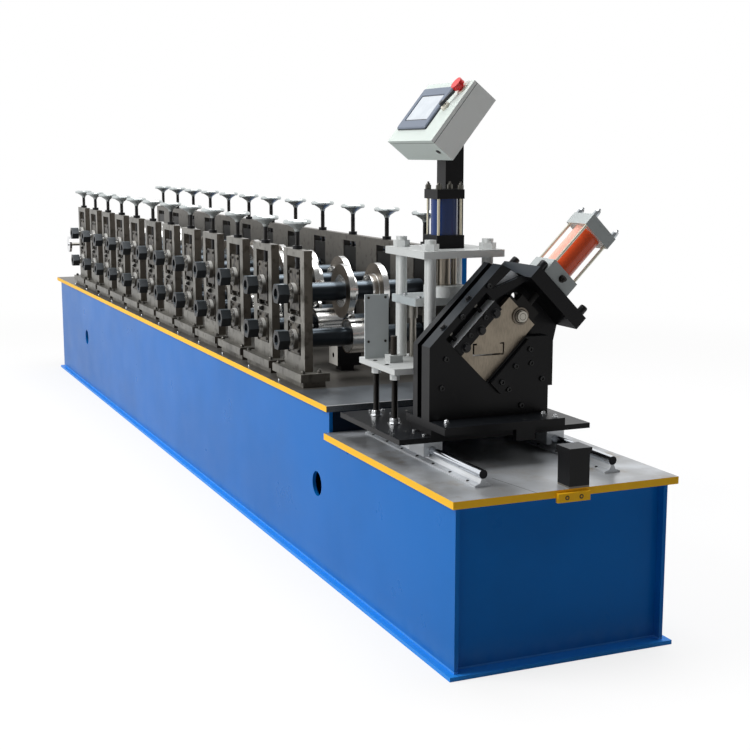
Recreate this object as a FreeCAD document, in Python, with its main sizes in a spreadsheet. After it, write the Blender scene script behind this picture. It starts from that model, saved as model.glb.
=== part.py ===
# Roll forming machine for light steel channel: a long welded base, twelve roll stations between
# operator-side stands and a drive-side wall, and a carriage on rails with a punching press and a
# slanted cut-off unit. Lengths are millimetres, +X runs to the exit end, +Y away from the operator,
# +Z up, and the origin is the plan centre of the underside of the base.
import FreeCAD, Part
import os
import Sketcher
import math

doc = FreeCAD.newDocument("RollFormingMachine")

# Driving dimensions
SIZES = [
    ("entry_run", 540, "bottom flange entry end to the first station"),
    ("flange_width", 704, "bottom flange, across"),
    ("flange_thick", 12, "bottom flange plate"),
    ("body_width", 662, "over the side plates"),
    ("wall_thick", 12, "side, end and riser plates"),
    ("end_inset", 17, "flange end to side plate end"),
    ("end_recess", 26, "side plate end to end plate face"),
    ("table_width", 700, "both tables, across"),
    ("upper_top", 584, "upper table surface above the floor"),
    ("upper_thick", 20, "upper table plate"),
    ("lower_top", 492, "exit table surface above the floor"),
    ("lower_thick", 21, "exit table plate"),
    ("table_lip", 6, "exit table past the flange end"),
    ("entry_lip", 18, "upper table past the flange end"),
    ("table_overlap", 25, "upper table over the far end of the exit table"),
    ("lift_hole_radius", 42, "lifting holes in the side plates"),
    ("lift_hole_height", 297, "lifting hole axis above the floor"),
    ("lift_hole_exit", 1043, "exit table end to the near lifting hole"),
    ("lift_hole_entry", 802, "bottom flange entry end to the far lifting hole"),
    ("stations", 12, "roll stations"),
    ("pitch", 343, "between stations"),
    ("last_station", 1379, "exit table end to the last station"),
    ("stand_width", 210, "stand along the machine"),
    ("stand_thick", 30, "stand and drive wall plate"),
    ("stand_face", 285, "operator stand face from the middle"),
    ("wall_face", 205, "drive wall inner face from the middle"),
    ("stand_top", 1050, "top of the stands above the floor"),
    ("foot_thick", 28, "foot plates"),
    ("bed_thick", 20, "spacer plates under the feet"),
    ("bed_inset", 12, "spacer plates inside the feet"),
    ("foot_length", 300, "foot plate along the machine"),
    ("foot_width", 106, "foot plate across"),
    ("foot_out", 31, "foot plate past the stand face"),
    ("window_width", 134, "bearing windows"),
    ("window_low", 52, "solid foot of the stand under its lower window"),
    ("top_bar", 25, "stand above its upper window"),
    ("bar_top", 820, "bar between the windows, top above the floor"),
    ("bar_height", 25, "bar between the windows"),
    ("upper_axis", 897, "upper shaft axis above the floor"),
    ("lower_axis", 735, "lower shaft axis above the floor"),
    ("block_gap", 0.3, "bearing block to its window"),
    ("operator_block_top", 982, "top of the operator upper blocks"),
    ("drive_block_top", 1003, "top of the drive upper blocks"),
    ("block_recess", 2, "bearing block behind the stand face"),
    ("block_front", 94, "raised front of the bearing blocks, across"),
    ("liner_recess", 8, "slide strips behind the raised front"),
    ("arch_width", 75, "hollow under the upper blocks, across"),
    ("arch_height", 18, "hollow under the upper blocks"),
    ("cap_radius", 36, "round bearing cap"),
    ("cap_depth", 14, "bearing cap past the block"),
    ("journal_radius", 20, "shaft in its bearings"),
    ("journal_gap", 0.3, "shaft to its bearing"),
    ("collar_radius", 22, "bright collar outside the bearing"),
    ("nut_flats", 65, "shaft end nut across flats"),
    ("nut_length", 40, "shaft end nut"),
    ("nut_out", 352, "shaft end nut face from the middle"),
    ("nut_bore", 19, "hollow in the shaft end nut"),
    ("nut_hollow", 9, "depth of the hollow in the shaft end nut"),
    ("sleeve_radius", 33.5, "spacer sleeves on the shafts"),
    ("sleeve_gap", 6, "spacer sleeve to the bearing block"),
    ("line_centre", 36, "strip centre to the operator side of the middle"),
    ("channel_half", 50, "half width of the finished channel"),
    ("channel_side", 34, "sides of the finished channel"),
    ("channel_lip", 12, "lips of the finished channel"),
    ("disc_radius", 95, "upper roll discs"),
    ("disc_thick", 22, "upper roll discs"),
    ("disc_clear", 3, "channel side to the upper disc"),
    ("hub_first", 93, "upper roll hub radius at the first station"),
    ("hub_start", 50, "upper roll hub at the first station, along its shaft"),
    ("hub_last", 55, "upper roll hub radius at the last station"),
    ("hub_width", 24, "upper roll hub at the last station, along its shaft"),
    ("drum_radius", 62, "lower roll drum"),
    ("bend_step", 6, "bend added at each station, degrees"),
    ("cone_start", 80, "strip centre to the support cones"),
    ("cone_end", 105, "strip centre to the end of the support cones"),
    ("cone_stations", 6, "stations with support cones"),
    ("rim_radius", 80, "guide rims of the later lower rolls"),
    ("rim_thick", 12, "guide rims of the later lower rolls"),
    ("guide_block_ahead", 134, "last station to the strip guide block"),
    ("guide_block_length", 85, "strip guide block along the machine"),
    ("guide_block_width", 94, "strip guide block across"),
    ("guide_block_low", 604, "underside of the strip guide block above the floor"),
    ("guide_block_top", 678, "top of the strip guide block"),
    ("guide_block_side", 14, "strip centre to the middle of the guide block"),
    ("guide_block_hole", 9, "hole in the strip guide block"),
    ("guide_block_foot", 50, "foot of the strip guide block, square"),
    ("gear_radius", 78, "gear disc at the drive end"),
    ("gear_thick", 30, "gear disc at the drive end"),
    ("gear_gap", 12, "drive wall to the gear disc"),
    ("screw_radius", 8, "adjusting screws"),
    ("wheel_radius", 49, "handwheels"),
    ("wheel_hub_radius", 13, "handwheel hub"),
    ("wheel_hub_low", 42, "handwheel top to the underside of its hub"),
    ("wheel_hub_flare", 30, "handwheel top to where the hub flares"),
    ("wheel_dish", 14, "handwheel rim height"),
    ("wheel_rim_round", 4, "handwheel rim corners"),
    ("wheel_face_drop", 6, "handwheel face below its rim"),
    ("wheel_rim_width", 12, "handwheel rim across"),
    ("operator_wheel_top", 1150, "top of the operator handwheels"),
    ("drive_wheel_top", 1172, "top of the drive handwheels"),
    ("lock_radius", 17, "lock nut on the stand top"),
    ("lock_height", 12, "lock nut on the stand top"),
    ("guard_low", 640, "underside of the drive guard"),
    ("guard_high", 1010, "top of the drive guard"),
    ("guard_out", 336, "outside of the drive guard from the middle"),
    ("guard_sheet", 4, "drive guard sheet"),
    ("rail_spacing", 410, "between the rails"),
    ("rail_radius", 12.5, "round rails"),
    ("rail_room", 58, "step of the base to the rails"),
    ("rail_exit", 110, "exit table end to the rail end"),
    ("rail_height", 35, "rail axis above the exit table"),
    ("rail_foot", 50, "rail support foot width"),
    ("rail_web", 5, "rail support flange and half web"),
    ("bearing_length", 100, "rail bearing block"),
    ("bearing_width", 60, "rail bearing block"),
    ("bearing_top", 27, "rail axis to the top of its bearing block"),
    ("bearing_low", 16, "rail axis to the underside of its bearing block"),
    ("bearing_gap", 0.5, "rail to its bearing"),
    ("bearing_inset", 12, "bearing block from the carriage end"),
    ("bearing_mouth", 23, "slot under the rail bearing"),
    ("carriage_front", 410, "exit table end to the carriage front"),
    ("carriage_length", 453, "carriage plate"),
    ("carriage_width", 636, "carriage plate"),
    ("carriage_thick", 16, "carriage plate"),
    ("carriage_room", 65, "exit table past the carriage at its rear end"),
    ("press_centre", 705, "exit table end to the press middle"),
    ("press_low_length", 272, "press lower plate"),
    ("press_low_width", 452, "press lower plate"),
    ("press_low_top", 747, "press lower plate top"),
    ("press_low_thick", 18, "press lower plate"),
    ("shield_height", 200, "sheet shield on the press lower plate"),
    ("shield_width", 80, "sheet shield, across the machine"),
    ("shield_thick", 4, "sheet shield"),
    ("shield_x", 94, "press middle to the sheet shield"),
    ("press_top_length", 284, "press top plate"),
    ("press_top_width", 268, "press top plate"),
    ("press_top", 1092, "press top plate top"),
    ("press_top_thick", 22, "press top plate"),
    ("pillar_radius", 17.5, "press pillars"),
    ("pillar_inset", 38, "press pillar from the top plate edge"),
    ("pillar_end", 32, "pillar nut and threaded end above the top plate"),
    ("pillar_nut", 26, "pillar nuts, corner radius"),
    ("pillar_nut_height", 20, "pillar nuts"),
    ("leg_radius", 8, "threaded legs"),
    ("leg_nut", 15, "lock nuts on the legs, corner radius"),
    ("leg_nut_height", 25, "lock nuts on the legs"),
    ("leg_inset_x", 66, "threaded legs from the lower plate ends"),
    ("leg_inset_y", 30, "threaded legs from the lower plate sides"),
    ("slide_level", 919, "underside of the press slide plate"),
    ("slide_thick", 24, "press slide plate"),
    ("slide_gap", 0.5, "press slide on its pillars"),
    ("slide_rear", 129, "press middle to the slide plate's rear edge"),
    ("slide_front", 46, "press middle to the slide plate's front edge"),
    ("slide_rim", 21, "pillar axis to the slide plate's side edge"),
    ("ram_gap", 6, "ram collar to the press top plate"),
    ("rod_reach", 30, "cylinder rod above the lower cap"),
    ("punch_length", 90, "punch block along the machine"),
    ("punch_width", 100, "punch block across"),
    ("punch_height", 60, "punch block"),
    ("die_square", 120, "punch die"),
    ("guide_radius", 11, "guide posts of the die set"),
    ("guide_side", 66, "guide posts from the strip centre"),
    ("guide_back", 84, "press middle to the guide posts"),
    ("guide_height", 128, "guide posts"),
    ("bush_radius", 15, "guide bushes under the press slide"),
    ("bush_length", 50, "guide bushes"),
    ("bush_gap", 0.5, "guide post to its bush"),
    ("stop_stud", 10, "stroke stop stud radius"),
    ("stop_stud_height", 80, "stroke stop stud"),
    ("stop_foot", 42, "square foot of the stroke stop stud"),
    ("stop_foot_height", 22, "square foot of the stroke stop stud"),
    ("stop_edge", 58, "lower plate side to the stop stud axis"),
    ("air_wall", 5, "press cylinder tube wall"),
    ("ram_radius", 21, "punch ram collar"),
    ("ram_flange", 62, "round flange on the press slide"),
    ("ram_flange_height", 34, "round flange on the press slide"),
    ("ram_guide", 9, "guide rods beside the ram"),
    ("ram_guide_side", 34, "guide rods from the ram axis"),
    ("punch_stroke", 40, "press slide travel"),
    ("air_square", 92, "press cylinder caps"),
    ("air_cap", 28, "press cylinder caps"),
    ("air_low_cap", 40, "press cylinder lower cap"),
    ("air_length", 178, "press cylinder over its caps"),
    ("air_tube", 41, "press cylinder tube radius"),
    ("tie_radius", 4.5, "cylinder tie rods"),
    ("tie_inset", 9, "tie rod from the cap edge"),
    ("tie_nut", 9, "tie rod nuts, corner radius"),
    ("tie_nut_height", 13, "tie rod nuts"),
    ("cutter_front", 393, "exit table end to the cut-off face"),
    ("cutter_cover", 12, "cut-off cover plate in front of the blade"),
    ("cutter_floor", 12, "fixed shear plate behind the blade"),
    ("cutter_space", 28, "between the cut-off front and back plates"),
    ("cutter_base_top", 620, "cut-off base block top"),
    ("cutter_base_plate", 22, "upper plate of the base block"),
    ("cutter_base_inset", 15, "base block under its upper plate, each end"),
    ("cutter_base_front", 292, "exit table end to the base block front"),
    ("cutter_base_length", 260, "cut-off base block"),
    ("stop_lug", 20, "lug under the base block that meets the buffer"),
    ("stop_lug_drop", 34, "lug under the base block plate, downwards"),
    ("cutter_width", 390, "cut-off body"),
    ("cutter_left", 232, "cut-off body to the operator side of the middle"),
    ("blade_thick", 26, "shear blade"),
    ("blade_gap", 1, "shear blade to the plates beside it"),
    ("blade_width", 120, "shear blade"),
    ("back_plate", 30, "cut-off back plate"),
    ("shear_stroke", 45, "shear blade travel"),
    ("vee_y", 46, "vee corner to the operator side of the middle"),
    ("vee_z", 720, "vee corner above the floor"),
    ("mount_along", 300, "vee corner to the cylinder mounting plate"),
    ("mount_thick", 44, "cylinder mounting plate"),
    ("mount_width", 224, "cylinder mounting plate across the slant"),
    ("mount_depth", 214, "cylinder mounting plate along the machine"),
    ("mount_front", 6, "mounting plate in front of the cylinder caps"),
    ("shear_side", 54, "vee corner to the shear cylinder axis"),
    ("shear_square", 108, "shear cylinder caps"),
    ("shear_low_cap", 50, "shear cylinder lower cap"),
    ("shear_top_cap", 40, "shear cylinder top cap"),
    ("shear_tube_length", 142, "shear cylinder tube"),
    ("shear_tube", 43, "shear cylinder tube radius"),
    ("post_square", 62, "control box post"),
    ("post_x", 760, "exit table end to the post front"),
    ("post_y", 26, "post middle from the middle"),
    ("box_width", 318, "control box along the machine"),
    ("box_height", 226, "control box face height"),
    ("box_depth", 92, "control box depth"),
    ("box_tilt", 51.4, "control box face above level, degrees"),
    ("box_x", 600, "exit table end to the box end"),
    ("box_y", 132, "box lower front edge to the operator side"),
    ("box_z", 1415, "box lower front edge above the floor"),
    ("stop_square", 62, "end stop post"),
    ("stop_top", 602, "end stop post top"),
    ("stop_y", 28, "end stop middle from the middle"),
    ("buffer_radius", 17, "end stop buffer"),
    ("buffer_reach", 30, "end stop buffer"),
    ("buffer_drop", 6, "end stop top to its buffer"),
    ("stop_block", 100, "block under the end stop, across"),
    ("stop_block_height", 25, "block under the end stop"),
    ("stop_block_side", 22, "end stop middle to the middle of the block under it"),
    ("stop_cap", 14, "cap on the end stop post"),
    ("stop_cap_out", 4, "cap past the end stop post"),
    ("stop_block_reach", 12, "block under the end stop, past the table end"),
    ("stop_block_drop", 12, "block under the end stop, below the table"),
    ("button_stem", 11, "emergency button stem"),
    ("button_seat", 0.3, "emergency button stem to the box face"),
    ("button_hole", 20, "depth of the hole behind the emergency button"),
    ("button_gap", 12, "emergency button head above the box face"),
    ("button_radius", 20, "emergency button head"),
    ("button_height", 16, "emergency button head"),
    ("button_side", 44, "emergency button from the box end"),
    ("button_up", 196, "emergency button above the lower edge of the face"),
    ("entry_reach", 320, "entry guide ahead of the first station"),
    ("entry_length", 90, "entry guide blocks along the machine"),
    ("entry_block", 60, "entry guide blocks across"),
    ("entry_gap", 130, "between the entry guide blocks"),
    ("entry_top", 830, "top of the entry guide"),
    ("entry_jaw", 60, "entry guide jaws"),
    ("entry_screw", 9, "entry guide screw"),
    ("entry_screw_drop", 24, "top of the entry guide to its screw"),
    ("entry_screw_out", 150, "entry guide screw past its block"),
    ("entry_wheel_out", 130, "entry guide handwheel past its block"),
    ("rod_radius", 14, "press cylinder rod"),
    ("die_height", 50, "punch die"),
    ("gib_width", 37, "blade gibs"),
    ("gib_length", 182, "blade gibs"),
    ("gib_proud", 4, "left gib in front of the cover plate"),
    ("gib_plate", 13, "right gib in front of the cover plate"),
    ("gib_plate_width", 48, "right gib, across the slant"),
    ("gib_plate_clear", 4, "right gib from the blade's edge"),
    ("slot_width", 34, "open slot beside the left gib"),
    ("slant_rail", 21, "slanted rail of the cut-off front plate"),
    ("shoulder_low", 683, "underside of the back plate shoulder"),
    ("shoulder_top", 820, "top of the back plate shoulder"),
    ("shoulder_out", 62, "back plate shoulder past the body"),
    ("port_half", 64, "strip port in the back plate"),
    ("port_drop", 12, "strip port below the pass line"),
    ("port_rise", 55, "strip port above the pass line"),
    ("pass_level", 800, "underside of the strip above the floor"),
    ("blade_length", 236, "shear blade along the slant"),
    ("slot_open", 5, "channel slot in the blade"),
    ("slot_outside", 1.5, "channel slot outside the channel"),
    ("boss_up", 213, "vee corner to the blade bolt, along the slant"),
    ("boss_radius", 26, "washer of the blade bolt"),
    ("boss_thick", 5, "washer of the blade bolt"),
    ("bolt_radius", 16, "head of the blade bolt"),
    ("bolt_height", 12, "head of the blade bolt"),
    ("carrier_width", 80, "blade carrier, across the slant"),
    ("carrier_height", 26, "blade carrier, along the slant"),
    ("channel_room", 6, "blade channel below the blade's lowest place"),
    ("rail_top", 272, "vee corner to the top of the slanted rail"),
    ("brace_top", 118, "vee corner to the brace at the mounting plate"),
    ("floor_height", 240, "vee corner to the top of the shear plate"),
    ("pocket_depth", 20, "lightening pocket beside the brace"),
    ("pocket_edge", 6, "lightening pocket to the rail"),
    ("sight_side", 75, "vee corner to the hole above the blade, across the slant"),
    ("sight_up", 262, "vee corner to the hole above the blade, along the slant"),
    ("brace_width", 16, "brace above the left gib"),
    ("sight_radius", 14, "hole in the back plate above the blade"),
    ("shear_rod", 10, "shear cylinder rod"),
    ("shear_rod_reach", 20, "shear cylinder rod above the lower cap"),
    ("shear_wall", 6, "shear cylinder tube wall"),
    ("mount_left", 132, "mounting plate from the vee corner to the upper left"),
]
sheet = doc.addObject("Spreadsheet::Sheet", "Sizes")
value = {}
for row, (alias, number, note) in enumerate(SIZES, start=1):
    sheet.set("A%d" % row, note)
    sheet.set("B%d" % row, str(number))
    sheet.setAlias("B%d" % row, alias)
    value[alias] = number
doc.recompute()
print(len(SIZES), "sizes")


class Size:
    """A number together with the sheet expression that gives it."""

    def __init__(self, number, text):
        self.number = number
        self.text = text

    def joined(self, sign, other, swap=False):
        left = self
        right = other if isinstance(other, Size) else Size(other, repr(other))
        if swap:
            left, right = right, left
        number = {"+": left.number + right.number, "-": left.number - right.number,
                  "*": left.number * right.number}.get(sign)
        if sign == "/":
            number = left.number / right.number
        return Size(number, "(%s %s %s)" % (left.text, sign, right.text))

    def __add__(self, other):
        return self.joined("+", other)

    def __radd__(self, other):
        return self.joined("+", other, True)

    def __sub__(self, other):
        return self.joined("-", other)

    def __rsub__(self, other):
        return self.joined("-", other, True)

    def __mul__(self, other):
        return self.joined("*", other)

    def __rmul__(self, other):
        return self.joined("*", other, True)

    def __truediv__(self, other):
        return self.joined("/", other)

    def __neg__(self):
        return self.joined("*", -1)


def of_angle(function, angle):
    """Sine, cosine or tangent of an angle in degrees."""
    return Size(getattr(math, function)(math.radians(angle.number)),
                "%s(%s * 1deg)" % (function, angle.text))


class Sizes:
    """Every size of the sheet as an attribute."""


S = Sizes()
for alias, number in value.items():
    setattr(S, alias, Size(number, "Sizes." + alias))

nodes = []


def number(size):
    return size.number if isinstance(size, Size) else size


def bind(thing, prop, size):
    """Set a property from a size, by expression where it comes from the sheet."""
    if isinstance(size, Size):
        thing.setExpression(prop, size.text)
    elif prop.startswith("Placement") or prop.startswith("Attachment"):
        thing.setExpression(prop, repr(float(size)))
    else:
        setattr(thing, prop, size)


def place(thing, at, turn=None):
    """Put an object at a point given in sizes, turned by (axis, degrees)."""
    if turn:
        thing.Placement.Rotation = FreeCAD.Rotation(FreeCAD.Vector(*turn[0]), turn[1])
    for axis, size in zip("xyz", at):
        if isinstance(size, Size):
            thing.setExpression("Placement.Base." + axis, size.text)
        elif size:
            setattr(thing.Placement.Base, axis, float(size))
    return thing


def named(thing, label):
    """Make an object one of the machine's pieces."""
    thing.Label = label
    nodes.append(thing)
    return thing


def box(length, width, height, at, turn=None):
    thing = doc.addObject("Part::Box", "Block")
    bind(thing, "Length", length)
    bind(thing, "Width", width)
    bind(thing, "Height", height)
    return place(thing, at, turn)


ALONG = {"x": ((0, 1, 0), 90), "y": ((1, 0, 0), 90), "z": None}


def rod(radius, length, at, along="z"):
    thing = doc.addObject("Part::Cylinder", "Rod")
    bind(thing, "Radius", radius)
    bind(thing, "Height", length)
    return place(thing, at, ALONG[along])


def nut(corner, height, at):
    """An upright hexagon, given by its corner radius."""
    thing = doc.addObject("Part::Prism", "Nut")
    thing.Polygon = 6
    bind(thing, "Circumradius", corner)
    bind(thing, "Height", height)
    return place(thing, at)


def group(kind, pieces, at=(0, 0, 0), turn=None):
    """Fuse pieces, or keep them apart in a Compound."""
    thing = doc.addObject("Part::" + kind, kind)
    setattr(thing, "Links" if kind == "Compound" else "Shapes", pieces)
    return place(thing, at, turn)


def cut(base, tools):
    thing = doc.addObject("Part::Cut", "Cut")
    thing.Base = base
    thing.Tool = tools[0] if len(tools) == 1 else group("MultiFuse", tools)
    return thing


def body(label, at=(0, 0, 0), turn=None):
    thing = named(doc.addObject("PartDesign::Body", "Body"), label)
    thing.AllowCompound = True
    return place(thing, at, turn)


def sketch(owner, role, out=0, across=0, up=0):
    """A sketch on one of the body's own planes, moved out along its normal and within the plane."""
    thing = owner.newObject("Sketcher::SketchObject", "Sketch")
    thing.AttachmentSupport = [(origin_part(owner, role), "")]
    thing.MapMode = "FlatFace"
    for axis, size in zip("xyz", (across, up, out)):
        if isinstance(size, Size):
            thing.setExpression("AttachmentOffset.Base." + axis, size.text)
        elif size:
            thing.AttachmentOffset.Base = thing.AttachmentOffset.Base + FreeCAD.Vector(
                *[float(size) if other == axis else 0.0 for other in "xyz"])
    return thing


def origin_part(owner, role):
    return next(part for part in owner.Origin.OriginFeatures if part.Role == role)


def pin_point(thing, geometry, point, x, y):
    """Fix one point of a sketch at sizes across and up from the sketch origin."""
    for kind, size in (("DistanceX", x), ("DistanceY", y)):
        index = thing.addConstraint(Sketcher.Constraint(kind, -1, 1, geometry, point, float(number(size))))
        if isinstance(size, Size):
            thing.setExpression("Constraints[%d]" % index, size.text)


def outline(thing, points):
    """A closed outline of straight runs through points given in sizes."""
    spots = [FreeCAD.Vector(number(x), number(y), 0) for x, y in points]
    first = thing.GeometryCount
    for index, spot in enumerate(spots):
        thing.addGeometry(Part.LineSegment(spot, spots[(index + 1) % len(spots)]), False)
    for index in range(len(spots)):
        follower = first + (index + 1) % len(spots)
        thing.addConstraint(Sketcher.Constraint("Coincident", first + index, 2, follower, 1))
    for index, (x, y) in enumerate(points):
        pin_point(thing, first + index, 1, x, y)


def rectangle(thing, x0, y0, x1, y1):
    outline(thing, [(x0, y0), (x1, y0), (x1, y1), (x0, y1)])


def hexagon(thing, x, y, corner):
    half = corner / 2
    side = corner * (3 ** 0.5 / 2)
    outline(thing, [(x + corner, y), (x + half, y + side), (x - half, y + side),
                    (x - corner, y), (x - half, y - side), (x + half, y - side)])


def circle(thing, x, y, radius):
    index = thing.addGeometry(
        Part.Circle(FreeCAD.Vector(number(x), number(y), 0), FreeCAD.Vector(0, 0, 1), number(radius)), False)
    rule = thing.addConstraint(Sketcher.Constraint("Radius", index, float(number(radius))))
    if isinstance(radius, Size):
        thing.setExpression("Constraints[%d]" % rule, radius.text)
    pin_point(thing, index, 3, x, y)


def pad(owner, profile, length, back=False):
    thing = owner.newObject("PartDesign::Pad", "Pad")
    thing.Profile = profile
    bind(thing, "Length", length)
    thing.Reversed = back
    owner.Tip = thing
    return thing


def pocket(owner, profile, length, back=False):
    thing = owner.newObject("PartDesign::Pocket", "Pocket")
    thing.Profile = profile
    bind(thing, "Length", length)
    thing.Reversed = back
    owner.Tip = thing
    return thing


def revolve(owner, profile, axis="H_Axis"):
    thing = owner.newObject("PartDesign::Revolution", "Revolution")
    thing.Profile = profile
    thing.ReferenceAxis = (profile, [axis])
    thing.Angle = 360
    owner.Tip = thing
    return thing


def repeat(owner, features, step, count, role="X_Axis"):
    """Repeat features along one of the body's axes."""
    thing = owner.newObject("PartDesign::LinearPattern", "Row")
    thing.Originals = features
    thing.Direction = (origin_part(owner, role), [""])
    thing.Length = number(step) * (number(count) - 1)
    thing.setExpression("Length", (step * (count - 1)).text)
    thing.Occurrences = int(number(count))
    if isinstance(count, Size):
        thing.setExpression("Occurrences", count.text)
    owner.Tip = thing
    return thing


# Places that several pieces share
base_length = S.entry_run + S.pitch * (S.stations - 1) + S.last_station - S.table_lip
exit_table_length = S.carriage_front + S.carriage_length + S.carriage_room
exit_x = base_length / 2 + S.table_lip
side_low = S.flange_thick
side_length = base_length - 2 * S.end_inset
side_front = side_length / 2
exit_under = S.lower_top - S.lower_thick
upper_under = S.upper_top - S.upper_thick
step_x = exit_x - exit_table_length
foot_low = S.upper_top + S.bed_thick
foot_top = foot_low + S.foot_thick
lower_window = foot_top + S.window_low
last_x = exit_x - S.last_station
first_x = last_x - S.pitch * (S.stations - 1)
half_body = S.body_width / 2
line_y = -S.line_centre
post_corner = (-1, 1)  # the panel post stands where this pillar's end would be


def flange():
    named(box(base_length, S.flange_width, S.flange_thick,
              (-base_length / 2, -S.flange_width / 2, 0)), "bottom_flange")


def side_plates():
    plates = body("side_plates")
    for inner_y in (-half_body, half_body - S.wall_thick):
        profile = sketch(plates, "XZ_Plane", -inner_y)
        outline(profile, [(-side_front, side_low), (side_front, side_low), (side_front, exit_under),
                          (step_x, exit_under), (step_x, upper_under), (-side_front, upper_under)])
        for hole_x in (exit_x - S.lift_hole_exit, -base_length / 2 + S.lift_hole_entry):
            circle(profile, hole_x, S.lift_hole_height, S.lift_hole_radius)
        pad(plates, profile, S.wall_thick, back=True)


def end_plates():
    inner = S.body_width - 2 * S.wall_thick
    plates = [box(S.wall_thick, inner, high - side_low, (x, -inner / 2, side_low))
              for x, high in ((side_front - S.end_recess - S.wall_thick, exit_under),
                              (-side_front + S.end_recess, upper_under))]
    named(group("Compound", plates), "end_plates")
    named(box(S.wall_thick, inner, upper_under - exit_under,
              (step_x - S.wall_thick, -inner / 2, exit_under)), "step_riser")


def tables():
    half = S.table_width / 2
    upper_end = step_x + S.table_overlap
    upper_start = -base_length / 2 - S.entry_lip
    named(box(upper_end - upper_start, S.table_width, S.upper_thick,
              (upper_start, -half, upper_under)), "upper_table")
    named(box(exit_table_length, S.table_width, S.lower_thick, (step_x, -half, exit_under)),
          "exit_table")


def windows(profile):
    """The lower and the upper bearing window of the first station."""
    slot = S.window_width / 2
    rectangle(profile, first_x - slot, lower_window, first_x + slot, S.bar_top - S.bar_height)
    rectangle(profile, first_x - slot, S.bar_top, first_x + slot, S.stand_top - S.top_bar)


def stands():
    half = S.stand_width / 2
    stand = body("operator_stands")
    face = sketch(stand, "XZ_Plane", S.stand_face)
    rectangle(face, first_x - half, foot_top, first_x + half, S.stand_top)
    windows(face)
    plate = pad(stand, face, S.stand_thick, back=True)
    tap = sketch(stand, "XY_Plane", S.stand_top)
    circle(tap, first_x, screw_line_operator, S.screw_radius + S.journal_gap)
    hole = pocket(stand, tap, S.top_bar)
    repeat(stand, [plate, hole], S.pitch, S.stations)

    wall = body("drive_stand_wall")
    face = sketch(wall, "XZ_Plane", -S.wall_face)
    rectangle(face, first_x - half, foot_top, last_x + half, S.stand_top)
    pad(wall, face, S.stand_thick, back=True)
    opening = sketch(wall, "XZ_Plane", -S.wall_face)
    windows(opening)
    window = pocket(wall, opening, S.stand_thick)
    tap = sketch(wall, "XY_Plane", S.stand_top)
    circle(tap, first_x, screw_line_drive, S.screw_radius + S.journal_gap)
    hole = pocket(wall, tap, S.top_bar)
    repeat(wall, [window, hole], S.pitch, S.stations)

    feet = body("stand_feet")
    row = []
    for low, thick, inset in ((S.upper_top, S.bed_thick, S.bed_inset), (foot_low, S.foot_thick, 0)):
        near = -S.stand_face - S.foot_out
        plan = sketch(feet, "XY_Plane", low)
        rectangle(plan, first_x - S.foot_length / 2 + inset, near + inset,
                  first_x + S.foot_length / 2 - inset, near + S.foot_width - inset)
        row.append(pad(feet, plan, thick))
    repeat(feet, row, S.pitch, S.stations)
    for low, thick, inset in ((S.upper_top, S.bed_thick, S.bed_inset), (foot_low, S.foot_thick, 0)):
        plan = sketch(feet, "XY_Plane", low)
        rectangle(plan, first_x - half + inset, S.wall_face - S.foot_out + inset,
                  last_x + half - inset, S.wall_face + S.stand_thick + S.foot_out - inset)
        pad(feet, plan, thick)


def bearing_blocks(label, outer_face, upper_top, side):
    """Upper and lower blocks of one side; side is -1 for the operator and 1 for the drive."""
    thick = S.stand_thick - 2 * S.block_recess
    half = S.window_width / 2 - S.block_gap
    front = S.block_front / 2
    arch = S.arch_width / 2
    corner = S.arch_height / 2
    bottom = S.bar_top + S.block_gap
    top = S.bar_top - S.bar_height - S.block_gap
    bore = S.journal_radius + S.journal_gap
    blocks = body(label)
    face = sketch(blocks, "XZ_Plane", -outer_face)
    outline(face, [(first_x - front, bottom), (first_x - arch, bottom),
                   (first_x - arch, bottom + corner), (first_x - arch + corner, bottom + S.arch_height),
                   (first_x + arch - corner, bottom + S.arch_height), (first_x + arch, bottom + corner),
                   (first_x + arch, bottom), (first_x + front, bottom), (first_x + front, upper_top),
                   (first_x - front, upper_top)])
    circle(face, first_x, S.upper_axis, bore)
    rectangle(face, first_x - front, lower_window, first_x + front, top)
    circle(face, first_x, S.lower_axis, bore)
    plates = pad(blocks, face, thick, back=side < 0)
    liner = sketch(blocks, "XZ_Plane", -outer_face + side * S.liner_recess)
    for low, high in ((bottom, upper_top), (lower_window, top)):
        rectangle(liner, first_x - half, low, first_x - front, high)
        rectangle(liner, first_x + front, low, first_x + half, high)
    liners = pad(blocks, liner, thick - S.liner_recess, back=side < 0)
    ring = sketch(blocks, "XZ_Plane", -outer_face)
    for axis in (S.upper_axis, S.lower_axis):
        circle(ring, first_x, axis, S.cap_radius)
        circle(ring, first_x, axis, bore)
    caps = pad(blocks, ring, S.cap_depth, back=side > 0)
    repeat(blocks, [plates, liners, caps], S.pitch, S.stations)


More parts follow.
